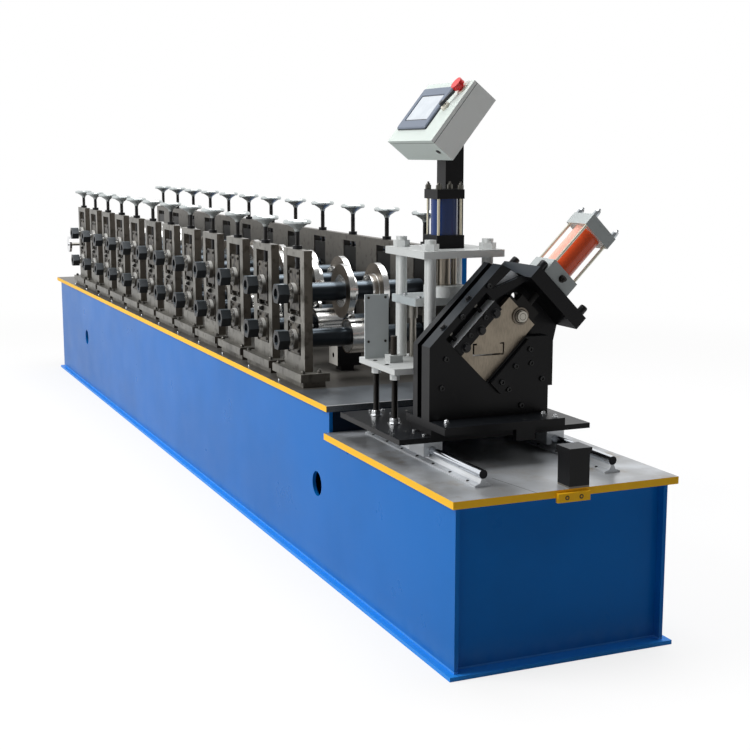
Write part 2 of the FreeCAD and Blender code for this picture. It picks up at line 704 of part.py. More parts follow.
def handwheels():
    wheels = body("adjusting_handwheels")
    turned = []
    for line, seat, top in ((screw_line_operator, S.operator_block_top, S.operator_wheel_top),
                            (screw_line_drive, S.drive_block_top, S.drive_wheel_top)):
        profile = sketch(wheels, "XZ_Plane", -line, first_x)
        lock_top = S.stand_top + S.lock_height
        outline(profile, [
            (0, seat), (S.screw_radius, seat), (S.screw_radius, S.stand_top),
            (S.lock_radius, S.stand_top), (S.lock_radius, lock_top), (S.screw_radius, lock_top),
            (S.screw_radius, top - S.wheel_hub_low), (S.wheel_hub_radius, top - S.wheel_hub_flare),
            (S.wheel_radius - S.wheel_rim_width, top - S.wheel_dish),
            (S.wheel_radius - S.wheel_rim_round, top - S.wheel_dish),
            (S.wheel_radius, top - S.wheel_dish + S.wheel_rim_round),
            (S.wheel_radius, top - S.wheel_rim_round),
            (S.wheel_radius - S.wheel_rim_round, top),
            (S.wheel_radius - S.wheel_rim_width, top - S.wheel_face_drop), (0, top - S.wheel_face_drop)])
        turned.append(revolve(wheels, profile, "V_Axis"))
    repeat(wheels, turned, S.pitch, S.stations)


def roll_shaft(label, station, axis, rolls):
    """One shaft with its rolls, sleeves, end nut and gear disc.

    Each roll is a run of (place along the shaft, radius), and they come in their order.
    """
    shaft = body(label, (first_x + S.pitch * station, 0, axis))
    collar_end = -(S.stand_face - S.block_recess + S.cap_depth + S.journal_gap)
    block_inner = -(S.stand_face - S.stand_thick + S.block_recess)
    nut_inner = -(S.nut_out - S.nut_length)
    shaft_end = -(S.nut_out - S.nut_hollow)
    gear_start = S.wall_face + S.stand_thick - S.block_recess + S.cap_depth + S.gear_gap
    points = [(shaft_end, 0), (shaft_end, S.nut_bore), (nut_inner, S.nut_bore),
              (nut_inner, S.collar_radius), (collar_end, S.collar_radius),
              (collar_end, S.journal_radius), (block_inner + S.sleeve_gap, S.journal_radius),
              (block_inner + S.sleeve_gap, S.sleeve_radius)]
    for steps in rolls:
        points += [(steps[0][0], S.sleeve_radius)] + steps + [(steps[-1][0], S.sleeve_radius)]
    points += [(S.wall_face + S.block_recess - S.sleeve_gap, S.sleeve_radius),
               (S.wall_face + S.block_recess - S.sleeve_gap, S.journal_radius),
               (gear_start, S.journal_radius), (gear_start, S.gear_radius),
               (gear_start + S.gear_thick, S.gear_radius), (gear_start + S.gear_thick, 0)]
    profile = sketch(shaft, "YZ_Plane")
    outline(profile, points)
    revolve(shaft, profile)
    flats = sketch(shaft, "XZ_Plane", S.nut_out - S.nut_length)
    hexagon(flats, 0, 0, S.nut_flats / 3 ** 0.5)
    circle(flats, 0, 0, S.nut_bore)
    pad(shaft, flats, S.nut_length)


def upper_rolls(station):
    """Two discs outside the channel, with hubs that draw in as the channel's sides close."""
    share = (S.stations - 1 - station) / (S.stations - 1)
    inner = S.channel_half + S.disc_clear
    radius = S.hub_last + (S.hub_first - S.hub_last) * share
    width = S.hub_width + (S.hub_start - S.hub_width) * share
    outer = inner + S.disc_thick
    return [[(line_y - outer, S.disc_radius), (line_y - inner, S.disc_radius),
             (line_y - inner, radius), (line_y - inner + width, radius)],
            [(line_y + inner - width, radius), (line_y + inner, radius),
             (line_y + inner, S.disc_radius), (line_y + outer, S.disc_radius)]]


def lower_rolls(station):
    """A drum under the channel, and beside it cones that grow steeper, then guide rims, then none."""
    drum = [(line_y - S.channel_half, S.drum_radius), (line_y + S.channel_half, S.drum_radius)]
    near, far = S.cone_start, S.cone_end
    if station < S.cone_stations.number:
        bend = of_angle("tan", S.bend_step * (station + 1))
        low = S.drum_radius + (near - S.channel_half) * bend
        high = S.drum_radius + (far - S.channel_half) * bend
    elif station < S.stations.number - 1:
        far = near + S.rim_thick
        low = high = S.rim_radius
    else:
        return [drum]
    return [[(line_y - far, high), (line_y - near, low)], drum,
            [(line_y + near, low), (line_y + far, high)]]


def rolls():
    for station in range(int(S.stations.number)):
        roll_shaft("upper_roll_%02d" % (station + 1), station, S.upper_axis, upper_rolls(station))
        roll_shaft("lower_roll_%02d" % (station + 1), station, S.lower_axis, lower_rolls(station))


def strip_guide():
    """A small block on the table between the last two stations, with a hole towards the operator."""
    x = last_x - S.guide_block_ahead - S.guide_block_length
    middle = line_y + S.guide_block_side
    near = middle - S.guide_block_width / 2
    block = box(S.guide_block_length, S.guide_block_width, S.guide_block_top - S.guide_block_low,
                (x, near, S.guide_block_low))
    half = S.guide_block_foot / 2
    foot = box(S.guide_block_foot, S.guide_block_foot, S.guide_block_low - S.upper_top,
               (x + S.guide_block_length / 2 - half, middle - half, S.upper_top))
    hole = rod(S.guide_block_hole, S.guide_block_width / 2,
               (x + S.guide_block_length / 2, near + S.guide_block_width / 2,
                (S.guide_block_low + S.guide_block_top) / 2), "y")
    named(cut(group("MultiFuse", [block, foot]), [hole]), "strip_guide")


def drive_guard():
    half = S.stand_width / 2
    wall_out = S.wall_face + S.stand_thick
    length = last_x - first_x + 2 * half
    shell = box(length, S.guard_out - wall_out, S.guard_high - S.guard_low,
                (first_x - half, wall_out, S.guard_low))
    room = box(length - 2 * S.guard_sheet, S.guard_out - wall_out,
               S.guard_high - S.guard_low - 2 * S.guard_sheet,
               (first_x - half + S.guard_sheet, wall_out - S.guard_sheet, S.guard_low + S.guard_sheet))
    named(cut(shell, [room]), "drive_guard")


def rails():
    rail_z = S.lower_top + S.rail_height
    start = step_x + S.rail_room
    length = exit_table_length - S.rail_exit - S.rail_room
    bars = [rod(S.rail_radius, length, (start, side * S.rail_spacing / 2, rail_z), "x")
            for side in (-1, 1)]
    named(group("Compound", bars), "guide_rails")
    supports = body("rail_supports")
    profile = sketch(supports, "YZ_Plane", start)
    line = -S.rail_spacing / 2
    foot = S.rail_foot / 2
    web = S.rail_web
    low = S.lower_top
    high = low + S.rail_height - S.rail_radius
    outline(profile, [(line - foot, low), (line + foot, low), (line + foot, low + web),
                      (line + 2 * web, low + 2 * web), (line + web, high), (line - web, high),
                      (line - 2 * web, low + 2 * web), (line - foot, low + web)])
    bar = pad(supports, profile, length)
    repeat(supports, [bar], S.rail_spacing, 2, "Y_Axis")


def carriage():
    rail_z = S.lower_top + S.rail_height
    under = rail_z + S.bearing_top
    front = exit_x - S.carriage_front
    rear = front - S.carriage_length
    named(box(S.carriage_length, S.carriage_width, S.carriage_thick, (rear, -S.carriage_width / 2, under)),
          "carriage_plate")
    bearings = body("rail_bearings")
    section = sketch(bearings, "YZ_Plane", rear + S.bearing_inset)
    bore = sketch(bearings, "YZ_Plane", rear + S.bearing_inset)
    mouth = sketch(bearings, "YZ_Plane", rear + S.bearing_inset)
    for side in (-1, 1):
        line = side * S.rail_spacing / 2
        half = S.bearing_width / 2
        rectangle(section, line - half, rail_z - S.bearing_low, line + half, under)
        circle(bore, line, rail_z, S.rail_radius + S.bearing_gap)
        rectangle(mouth, line - S.bearing_mouth / 2, rail_z - S.bearing_low,
                  line + S.bearing_mouth / 2, rail_z)
    block = pad(bearings, section, S.bearing_length)
    hole = pocket(bearings, bore, S.bearing_length, back=True)
    slot = pocket(bearings, mouth, S.bearing_length, back=True)
    repeat(bearings, [block, hole, slot], S.carriage_length - S.bearing_length - 2 * S.bearing_inset, 2)
    return under + S.carriage_thick


def press(deck):
    centre = exit_x - S.press_centre
    top_under = S.press_top - S.press_top_thick
    half_x = S.press_top_length / 2
    half_y = S.press_top_width / 2
    corners = [(sx, sy, centre + sx * (half_x - S.pillar_inset), line_y + sy * (half_y - S.pillar_inset))
               for sx in (-1, 1) for sy in (-1, 1)]
    press_frame(centre, corners, deck)
    top = body("press_top_plate")
    plan = sketch(top, "XY_Plane", top_under)
    rectangle(plan, centre - half_x, line_y - half_y, centre + half_x, line_y + half_y)
    circle(plan, centre, line_y, S.rod_radius + S.slide_gap)
    pad(top, plan, S.press_top_thick)
    press_slide(centre, corners, top_under)
    press_die(centre)
    tie_rod_cylinder(body("press_cylinder"), (centre, line_y), S.air_square,
                     (S.press_top, S.air_low_cap, S.air_length - S.air_low_cap - S.air_cap, S.air_cap),
                     S.air_tube, S.air_wall, S.rod_radius)


def press_frame(centre, corners, deck):
    """The lower plate on its legs, and the pillars with their nuts."""
    low_under = S.press_low_top - S.press_low_thick
    half_x = S.press_low_length / 2
    half_y = S.press_low_width / 2
    plate = box(S.press_low_length, S.press_low_width, S.press_low_thick,
                (centre - half_x, line_y - half_y, low_under))
    shield = box(S.shield_thick, S.shield_width, S.shield_height,
                 (centre - S.shield_x, line_y - half_y, S.press_low_top))
    named(group("MultiFuse", [plate, shield]), "press_lower_plate")
    columns = []
    for sx in (-1, 1):
        for sy in (-1, 1):
            x = centre + sx * (half_x - S.leg_inset_x)
            y = line_y + sy * (half_y - S.leg_inset_y)
            columns.append(group("MultiFuse", [
                rod(S.leg_radius, low_under - deck, (x, y, deck)),
                nut(S.leg_nut, S.leg_nut_height, (x, y, low_under - S.leg_nut_height))]))
    for sx, sy, x, y in corners:
        columns.append(rod(S.pillar_radius, S.press_top - S.press_top_thick - S.press_low_top,
                           (x, y, S.press_low_top)))
        if (sx, sy) != post_corner:
            columns.append(group("MultiFuse", [
                rod(S.pillar_radius, S.pillar_end, (x, y, S.press_top)),
                nut(S.pillar_nut, S.pillar_nut_height, (x, y, S.press_top))]))
    named(group("Compound", columns), "press_columns")


def press_slide(centre, corners, top_under):
    """The slide plate with its ram above, and the punch and guide bushes below."""
    slide = body("punch_slide")
    plan = sketch(slide, "XY_Plane", S.slide_level)
    side = S.press_top_width / 2 - S.pillar_inset + S.slide_rim
    rectangle(plan, centre - S.slide_rear, line_y - side, centre + S.slide_front, line_y + side)
    for sx, sy, x, y in corners:
        if sx < 0:
            circle(plan, x, y, S.pillar_radius + S.slide_gap)
    pad(slide, plan, S.slide_thick)
    level = S.slide_level + S.slide_thick
    flange_top = level + S.ram_flange_height
    ram_top = top_under - S.ram_gap
    for radius, low, high in ((S.ram_flange, level, flange_top), (S.ram_radius, flange_top, ram_top),
                              (S.rod_radius, ram_top, S.press_top + S.air_low_cap + S.rod_reach)):
        plan = sketch(slide, "XY_Plane", low)
        circle(plan, centre, line_y, radius)
        pad(slide, plan, high - low)
    plan = sketch(slide, "XY_Plane", flange_top)
    for sign in (-1, 1):
        circle(plan, centre, line_y + sign * S.ram_guide_side, S.ram_guide)
    pad(slide, plan, ram_top - flange_top)
    plan = sketch(slide, "XY_Plane", S.slide_level)
    half = S.punch_width / 2
    rectangle(plan, centre - S.punch_length / 2, line_y - half, centre + S.punch_length / 2, line_y + half)
    pad(slide, plan, S.punch_height, back=True)
    plan = sketch(slide, "XY_Plane", S.slide_level)
    for sign in (-1, 1):
        spot = (centre - S.guide_back, line_y + sign * S.guide_side)
        circle(plan, *spot, S.bush_radius)
        circle(plan, *spot, S.guide_radius + S.bush_gap)
    pad(slide, plan, S.bush_length, back=True)


def press_die(centre):
    """The die block, its two guide posts, and the stud that stops the stroke."""
    half = S.die_square / 2
    level = S.press_low_top
    parts = [box(S.die_square, S.die_square, S.die_height, (centre - half, line_y - half, level))]
    parts += [rod(S.guide_radius, S.guide_height,
                  (centre - S.guide_back, line_y + sign * S.guide_side, level)) for sign in (-1, 1)]
    half = S.stop_foot / 2
    stud_y = line_y - S.press_low_width / 2 + S.stop_edge
    parts.append(group("MultiFuse", [
        box(S.stop_foot, S.stop_foot, S.stop_foot_height, (centre - half, stud_y - half, level)),
        rod(S.stop_stud, S.stop_stud_height, (centre, stud_y, level))]))
    named(group("Compound", parts), "punch_die")


def tie_rod_cylinder(cylinder, middle, square, heights, tube, wall, stem):
    """Two square caps, a tube between them, four tie rods and their nuts, around a stem.

    The heights are the seat, the low cap, the tube and the top cap.
    """
    x, y = middle
    seat, low_cap, run, top_cap = heights
    half = square / 2
    inset = half - S.tie_inset
    spots = [(x + sx * inset, y + sy * inset) for sx in (-1, 1) for sy in (-1, 1)]
    plan = sketch(cylinder, "XY_Plane", seat)
    rectangle(plan, x - half, y - half, x + half, y + half)
    circle(plan, x, y, stem + S.slide_gap)
    pad(cylinder, plan, low_cap)
    plan = sketch(cylinder, "XY_Plane", seat + low_cap)
    circle(plan, x, y, tube)
    circle(plan, x, y, tube - wall)
    for spot in spots:
        circle(plan, *spot, S.tie_radius)
    pad(cylinder, plan, run)
    plan = sketch(cylinder, "XY_Plane", seat + low_cap + run)
    rectangle(plan, x - half, y - half, x + half, y + half)
    pad(cylinder, plan, top_cap)
    plan = sketch(cylinder, "XY_Plane", seat + low_cap + run + top_cap)
    for spot in spots:
        hexagon(plan, *spot, S.tie_nut)
    pad(cylinder, plan, S.tie_nut_height)


def slanted(across, along):
    """Y and Z of a point given across the slant and along it from the vee corner."""
    half = 0.5 ** 0.5
    return (-S.vee_y + (across + along) * half, S.vee_z + (along - across) * half)


def unslanted(y, z):
    """The reverse: across the slant and along it of a point given by Y and Z."""
    half = 0.5 ** 0.5
    return ((y + S.vee_y - z + S.vee_z) * half, (y + S.vee_y + z - S.vee_z) * half)


SLANT = ((1, 0, 0), -45)
cutter_left = -S.cutter_left
cutter_right = cutter_left + S.cutter_width
cutter_face = exit_x - S.cutter_front
blade_space = S.blade_thick + 2 * S.blade_gap
shear_face = cutter_face - S.cutter_cover - blade_space
back_face = shear_face - S.cutter_floor - S.cutter_space
blade_x = shear_face + blade_space / 2
gib_outer = -S.blade_width - S.gib_width
rail_inner = gib_outer - S.slot_width
rail_outer = rail_inner - S.slant_rail
mount_right = S.mount_width - S.mount_left


def cutter(deck):
    base_front = exit_x - S.cutter_base_front
    plate_low = S.cutter_base_top - S.cutter_base_plate
    start = base_front - S.cutter_base_length
    inset = S.cutter_base_inset
    lug = S.stop_square / 2
    named(group("MultiFuse", [
        box(S.cutter_base_length, S.cutter_width, S.cutter_base_plate, (start, cutter_left, plate_low)),
        box(exit_x - S.carriage_front - start, S.cutter_width - 2 * inset, plate_low - deck,
            (start, cutter_left + inset, deck)),
        box(S.stop_lug, S.stop_square, S.stop_lug_drop,
            (base_front - S.stop_lug, S.stop_y - lug, plate_low - S.stop_lug_drop))]), "cutter_base")
    front_plate()
    back_plate()
    gibs = body("blade_gibs", (0, -S.vee_y, S.vee_z), SLANT)
    profile = sketch(gibs, "YZ_Plane", shear_face)
    rectangle(profile, gib_outer, 0, -S.blade_width - S.blade_gap, S.gib_length)
    pad(gibs, profile, blade_space + S.cutter_cover + S.gib_proud)
    profile = sketch(gibs, "YZ_Plane", cutter_face)
    rectangle(profile, S.gib_plate_clear, S.gib_plate_clear, S.gib_plate_clear + S.gib_plate_width,
              S.gib_length - S.gib_plate_clear)
    pad(gibs, profile, S.gib_plate)
    blade()
    mount = body("cylinder_mount", (0, -S.vee_y, S.vee_z), SLANT)
    profile = sketch(mount, "XY_Plane", S.mount_along, blade_x, 0)
    front = S.shear_square / 2 + S.mount_front
    rectangle(profile, front - S.mount_depth, -S.mount_left, front, mount_right)
    circle(profile, 0, -S.shear_side, S.shear_rod + S.slide_gap)
    pad(mount, profile, S.mount_thick)
    tie_rod_cylinder(body("shear_cylinder", (0, -S.vee_y, S.vee_z), SLANT), (blade_x, -S.shear_side),
                     S.shear_square, (S.mount_along + S.mount_thick, S.shear_low_cap,
                                      S.shear_tube_length, S.shear_top_cap),
                     S.shear_tube, S.shear_wall, S.shear_rod)


def cutter_side():
    """The left edge of the cut-off plates, from the mounting plate down to the base."""
    corner_y, corner_z = slanted(rail_outer, 0)
    return [slanted(-S.mount_left, S.mount_along), slanted(rail_outer, S.rail_top),
            (cutter_left, corner_z + cutter_left - corner_y)]


def port(profile):
    rectangle(profile, line_y - S.port_half, S.pass_level - S.port_drop, line_y + S.port_half,
              S.pass_level + S.port_rise)


def front_plate():
    """Cover, spacer and shear plate in one: a vee open to the blade, and a channel that guides it."""
    plate = body("cutter_front_plate")
    profile = sketch(plate, "YZ_Plane", shear_face - S.cutter_floor)
    outline(profile, [(cutter_left, S.cutter_base_top), (cutter_right, S.cutter_base_top),
                      (cutter_right, slanted(0, S.gib_length)[1]), slanted(0, S.gib_length),
                      slanted(0, 0), slanted(rail_inner, 0), slanted(rail_inner, S.gib_length),
                      slanted(gib_outer, S.gib_length), slanted(-S.brace_top, S.mount_along)]
            + cutter_side())
    pad(plate, profile, S.cutter_floor + blade_space + S.cutter_cover)
    floor = sketch(plate, "YZ_Plane", shear_face - S.cutter_floor)
    outline(floor, [slanted(0, 0), slanted(0, S.floor_height), slanted(-S.brace_top, S.floor_height),
                    slanted(gib_outer, S.gib_length), slanted(rail_inner, S.gib_length),
                    slanted(rail_inner, 0)])
    pad(plate, floor, S.cutter_floor)
    opening = sketch(plate, "YZ_Plane", shear_face - S.cutter_floor)
    port(opening)
    pocket(plate, opening, S.cutter_floor, back=True)
    channel = sketch(plate, "YZ_Plane", shear_face)
    low = -S.shear_stroke - S.channel_room
    left = -S.blade_width - S.blade_gap
    outline(channel, [slanted(S.blade_gap, low), slanted(S.blade_gap, S.mount_along),
                      slanted(left, S.mount_along), slanted(left, low)])
    pocket(plate, channel, blade_space, back=True)
    lightening = sketch(plate, "YZ_Plane", cutter_face)
    edge = S.pocket_edge
    outline(lightening, [slanted(rail_inner + edge, S.gib_length + 3 * edge),
                         slanted(rail_inner + 2 * edge, S.mount_along - 2 * edge),
                         slanted(-S.brace_top - S.brace_width - edge, S.mount_along - edge)])
    pocket(plate, lightening, S.pocket_depth)


def back_plate():
    """The plate behind the blade, with a shoulder on the far side, a strip port and a sight hole."""
    plate = body("cutter_back_plate")
    profile = sketch(plate, "YZ_Plane", back_face - S.back_plate)
    shoulder = cutter_right + S.shoulder_out
    outline(profile, [(cutter_left, S.cutter_base_top), (cutter_right, S.cutter_base_top),
                      (cutter_right, S.shoulder_low), (shoulder, S.shoulder_low),
                      (shoulder, S.shoulder_top), slanted(mount_right, S.mount_along)] + cutter_side())
    port(profile)
    circle(profile, *slanted(-S.sight_side, S.sight_up), S.sight_radius)
    pad(plate, profile, S.back_plate)


def blade():
    """The shear blade with the channel's shape cut through it, its bolt, carrier and cylinder rod."""
    blade = body("shear_blade", (0, -S.vee_y, S.vee_z), SLANT)
    profile = sketch(blade, "YZ_Plane", shear_face + S.blade_gap)
    rectangle(profile, -S.blade_width, 0, 0, S.blade_length)
    outside = S.channel_half + S.slot_outside
    inside = outside - S.slot_open
    lip = S.channel_half - S.channel_lip
    low = S.pass_level - S.slot_outside
    high = S.pass_level + S.channel_side + S.slot_outside
    outline(profile, [unslanted(line_y + across, z) for across, z in (
        (-outside, low), (outside, low), (outside, high), (lip, high), (lip, high - S.slot_open),
        (inside, high - S.slot_open), (inside, low + S.slot_open), (-inside, low + S.slot_open),
        (-inside, high - S.slot_open), (-lip, high - S.slot_open), (-lip, high), (-outside, high))])
    pad(blade, profile, S.blade_thick)
    carrier = sketch(blade, "YZ_Plane", shear_face + S.blade_gap)
    half = S.carrier_width / 2
    rectangle(carrier, -S.shear_side - half, S.blade_length, -S.shear_side + half,
              S.blade_length + S.carrier_height)
    pad(blade, carrier, S.blade_thick)
    front = shear_face + S.blade_gap + S.blade_thick
    for radius, start, length in ((S.boss_radius, front, S.boss_thick),
                                  (S.bolt_radius, front + S.boss_thick, S.bolt_height)):
        profile = sketch(blade, "YZ_Plane", start)
        circle(profile, -S.shear_side, S.boss_up, radius)
        pad(blade, profile, length)
    start = S.blade_length + S.carrier_height
    profile = sketch(blade, "XY_Plane", start, blade_x, -S.shear_side)
    circle(profile, 0, 0, S.shear_rod)
    pad(blade, profile, S.mount_along + S.mount_thick + S.shear_low_cap + S.shear_rod_reach - start)


def control_panel():
    side = S.post_square
    back = exit_x - S.post_x - side
    post = body("panel_post")
    profile = sketch(post, "YZ_Plane", back)
    near = S.post_y - side / 2
    far = S.post_y + side / 2
    outline(profile, [(near, S.press_top), (far, S.press_top),
                      (far, rear_line(far)), (near, rear_line(near))])
    pad(post, profile, side)
    tilt = S.box_tilt
    place_on_box = ((exit_x - S.box_x, -S.box_y, S.box_z), ((1, 0, 0), tilt.number - 90))
    case = body("control_box", *place_on_box)
    profile = sketch(case, "XZ_Plane")
    rectangle(profile, -S.box_width, 0, 0, S.box_height)
    pad(case, profile, S.box_depth, back=True)
    hole = sketch(case, "XZ_Plane", 0, -S.button_side, S.button_up)
    circle(hole, 0, 0, S.button_stem + S.button_seat)
    pocket(case, hole, S.button_hole)
    button = body("emergency_button", *place_on_box)
    for thing in (case, button):
        thing.setExpression("Placement.Rotation.Angle", "(%s - 90) * 1deg" % tilt.text)
    for radius, start, length in ((S.button_stem, S.button_seat, S.button_gap - S.button_seat),
                                  (S.button_radius, S.button_gap, S.button_height)):
        profile = sketch(button, "XZ_Plane", start, -S.button_side, S.button_up)
        circle(profile, 0, 0, radius)
        pad(button, profile, length)


def rear_line(y):
    """Height of the control box's rear face at a given Y."""
    rear_y = -S.box_y + S.box_depth * of_angle("sin", S.box_tilt)
    rear_z = S.box_z - S.box_depth * of_angle("cos", S.box_tilt)
    return rear_z + (y - rear_y) * of_angle("tan", S.box_tilt)


def end_stop():
    """A post with its cap and buffer on the exit table, and a block in front of the table's edge."""
    half = S.stop_square / 2
    out = S.stop_cap_out
    post = box(S.stop_square, S.stop_square, S.stop_top - S.lower_top,
               (exit_x - S.stop_square, S.stop_y - half, S.lower_top))
    cap = box(S.stop_square + 2 * out, S.stop_square + 2 * out, S.stop_cap,
              (exit_x - S.stop_square - out, S.stop_y - half - out, S.stop_top - S.stop_cap))
    buffer = rod(S.buffer_radius, S.buffer_reach,
                 (exit_x - S.stop_square - S.buffer_reach, S.stop_y,
                  S.stop_top - S.buffer_radius - S.buffer_drop), "x")
    block = box(S.stop_block_reach, S.stop_block, S.stop_block_height,
                (exit_x, S.stop_y - S.stop_block_side - S.stop_block / 2, exit_under - S.stop_block_drop))
    named(group("Compound", [group("MultiFuse", [post, cap, buffer]), block]), "end_stop")


def entry_guide():
    x = first_x - S.entry_reach - S.entry_length
    base = box(S.entry_length, S.entry_gap + 2 * S.entry_block, S.entry_top - S.entry_jaw - S.upper_top,
               (x, line_y - S.entry_gap / 2 - S.entry_block, S.upper_top))
    reach = (S.entry_gap + S.entry_block) / 2
    jaws = [box(S.entry_length, S.entry_block, S.entry_jaw,
                (x, line_y + side * reach - S.entry_block / 2, S.entry_top - S.entry_jaw))
            for side in (-1, 1)]
    screw_x = x + S.entry_length / 2
    near = line_y - S.entry_gap / 2 - S.entry_block
    height = S.entry_top - S.entry_screw_drop
    screw = rod(S.entry_screw, S.entry_screw_out, (screw_x, near, height), "y")
    wheel = rod(S.wheel_radius, S.wheel_dish, (screw_x, near - S.entry_wheel_out, height), "y")
    named(group("MultiFuse", [base] + jaws + [screw, wheel]), "entry_guide")


screw_line_operator = -S.stand_face + S.stand_thick / 2
screw_line_drive = S.wall_face + S.stand_thick / 2
flange()
side_plates()
end_plates()
tables()
stands()
bearing_blocks("operator_bearing_blocks", -S.stand_face + S.block_recess, S.operator_block_top, -1)
bearing_blocks("drive_bearing_blocks", S.wall_face + S.stand_thick - S.block_recess, S.drive_block_top, 1)
handwheels()
rolls()
strip_guide()
drive_guard()
rails()
deck = carriage()
press(deck)
cutter(deck)
control_panel()
end_stop()
entry_guide()

doc.recompute()
for thing in doc.Objects:
    if "Invalid" in thing.State or "Error" in thing.State:
        raise RuntimeError("%s of %s failed: %s" % (thing.Name, thing.Label, thing.State))
os.makedirs("parts", exist_ok=True)
for node in nodes:
    shape = node.Shape
    if shape.isNull() or not shape.isValid() or not shape.Solids:
        raise RuntimeError("%s has no sound shape" % node.Label)
    shape.exportStep("parts/%s.step" % node.Label)
    bounds = shape.BoundBox
    print("%-26s %2d solids  X %8.1f %8.1f  Y %7.1f %7.1f  Z %7.1f %7.1f" % (
        node.Label, len(shape.Solids), bounds.XMin, bounds.XMax, bounds.YMin, bounds.YMax,
        bounds.ZMin, bounds.ZMax))
print(len(nodes), "pieces")
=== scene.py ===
# %% [markdown]
# # Roll forming machine
#
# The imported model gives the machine's pieces at their real size, in metres. This lesson gives each of
# them its finish, adds the small things that a fitter would bolt on, and lights and frames the result.
# Everything that is added is measured from the pieces it sits on.

# %% Load the frame
import math

import bmesh
import bpy
from mathutils import Matrix, Vector


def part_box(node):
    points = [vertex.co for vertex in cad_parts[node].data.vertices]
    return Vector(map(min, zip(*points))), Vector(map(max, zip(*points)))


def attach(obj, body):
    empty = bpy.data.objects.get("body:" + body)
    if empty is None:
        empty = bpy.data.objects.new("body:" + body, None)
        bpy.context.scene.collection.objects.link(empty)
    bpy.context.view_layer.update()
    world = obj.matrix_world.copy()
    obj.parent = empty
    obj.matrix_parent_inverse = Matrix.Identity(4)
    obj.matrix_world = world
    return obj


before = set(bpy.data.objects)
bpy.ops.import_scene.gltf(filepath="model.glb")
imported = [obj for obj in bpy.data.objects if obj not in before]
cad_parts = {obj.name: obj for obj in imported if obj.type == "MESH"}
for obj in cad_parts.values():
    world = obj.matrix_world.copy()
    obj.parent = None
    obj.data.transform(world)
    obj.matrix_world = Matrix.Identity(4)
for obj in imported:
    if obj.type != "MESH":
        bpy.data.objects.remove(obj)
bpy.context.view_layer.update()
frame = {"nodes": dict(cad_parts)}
nodes = frame["nodes"]
box = {name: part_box(name) for name in nodes}
MM = 0.001
print(len(nodes), "pieces loaded")

# %% [markdown]
# ## Camera
#
# The camera stands at the operator's side beyond the exit end, at the height of the control box, and
# looks along the machine. Its place was worked out from the straight edges of the base, so it is set
# as a point in the room, a direction of view and a focal length.

# %% Camera
CAMERA_PLACE = Vector((5.81863, -1.84603, 1.38264))
CAMERA_DIRECTION = Vector((-0.90601, 0.38941, -0.16582))
FOCAL_LENGTH = 63.73

camera_data = bpy.data.cameras.new("camera")
camera_data.lens = FOCAL_LENGTH
camera_data.sensor_width = 36
camera_data.clip_end = 60
camera = bpy.data.objects.new("camera", camera_data)
camera.location = CAMERA_PLACE
camera.rotation_euler = CAMERA_DIRECTION.to_track_quat("-Z", "Y").to_euler()
bpy.context.scene.collection.objects.link(camera)
bpy.context.scene.camera = camera
print("camera at", tuple(round(part, 2) for part in camera.location))

# %% [markdown]
# ## Measured places
#
# The stations repeat at one pitch, so their middles are read off the lower rolls. The roll shafts lie
# across the machine at two heights. The cut-off is turned by 45 degrees about the machine's length: its
# own two directions, across and along the blade, are worked out from its lowest corner.

# %% Measured places
STATIONS = 12
TABLE = box["upper_table"][1].z
EXIT_TABLE = box["exit_table"][1].z
CARRIAGE = box["carriage_plate"][1].z


def middle(name):
    """The centre of a piece."""
    low, high = box[name]
    return (low + high) / 2


station_x = [middle("lower_roll_%02d" % (number + 1)).x for number in range(STATIONS)]
pitch = (station_x[-1] - station_x[0]) / (STATIONS - 1)
upper_axis = middle("upper_roll_01").z
lower_axis = middle("lower_roll_07").z
press_x, press_y = middle("press_cylinder").x, middle("press_cylinder").y
VEE = Vector((0, -0.046, 0.720))
ACROSS = Vector((0, 1, -1)).normalized()
ALONG = Vector((0, 1, 1)).normalized()


def slanted(x, across, along):
    """A point of the cut-off, from its distances across and along the blade."""
    return VEE + Vector((x, 0, 0)) + ACROSS * across + ALONG * along


print("pitch", round(pitch, 4), "shafts at", round(upper_axis, 3), "and", round(lower_axis, 3))

# %% [markdown]
# ## Node trees as sums
#
# A finish is a recipe of small sums: this much grain, that much dirt below this height. Written with
# nodes by hand such sums are long, so one class wraps a node's output and lets Python's own + - * /
# place the Math nodes. A second class holds a tree and has the one method that makes any other node.

# %% Node trees


def srgb(red, green, blue):
    """A colour as a paint chart gives it, from 0 to 255, as the linear colour that shaders use."""
    parts = [part / 255 for part in (red, green, blue)]
    return tuple(part / 12.92 if part <= 0.04045 else ((part + 0.055) / 1.055) ** 2.4
                 for part in parts) + (1.0,)


class Wire:
    """A node's output. Arithmetic on wires adds Math nodes."""

    def __init__(self, nodes, socket):
        self.nodes = nodes
        self.socket = socket

    def maths(self, operation, *others):
        return self.nodes.maths(operation, self, *others)

    def __add__(self, other):
        return self.nodes.maths("ADD", self, other)

    def __radd__(self, other):
        return self.nodes.maths("ADD", other, self)

    def __sub__(self, other):
        return self.nodes.maths("SUBTRACT", self, other)

    def __rsub__(self, other):
        return self.nodes.maths("SUBTRACT", other, self)

    def __mul__(self, other):
        return self.nodes.maths("MULTIPLY", self, other)

    def __rmul__(self, other):
        return self.nodes.maths("MULTIPLY", other, self)

    def __truediv__(self, other):
        return self.nodes.maths("DIVIDE", self, other)

    def __rtruediv__(self, other):
        return self.nodes.maths("DIVIDE", other, self)

    def __gt__(self, other):
        return self.nodes.maths("GREATER_THAN", self, other)

    def __lt__(self, other):
        return self.nodes.maths("LESS_THAN", self, other)


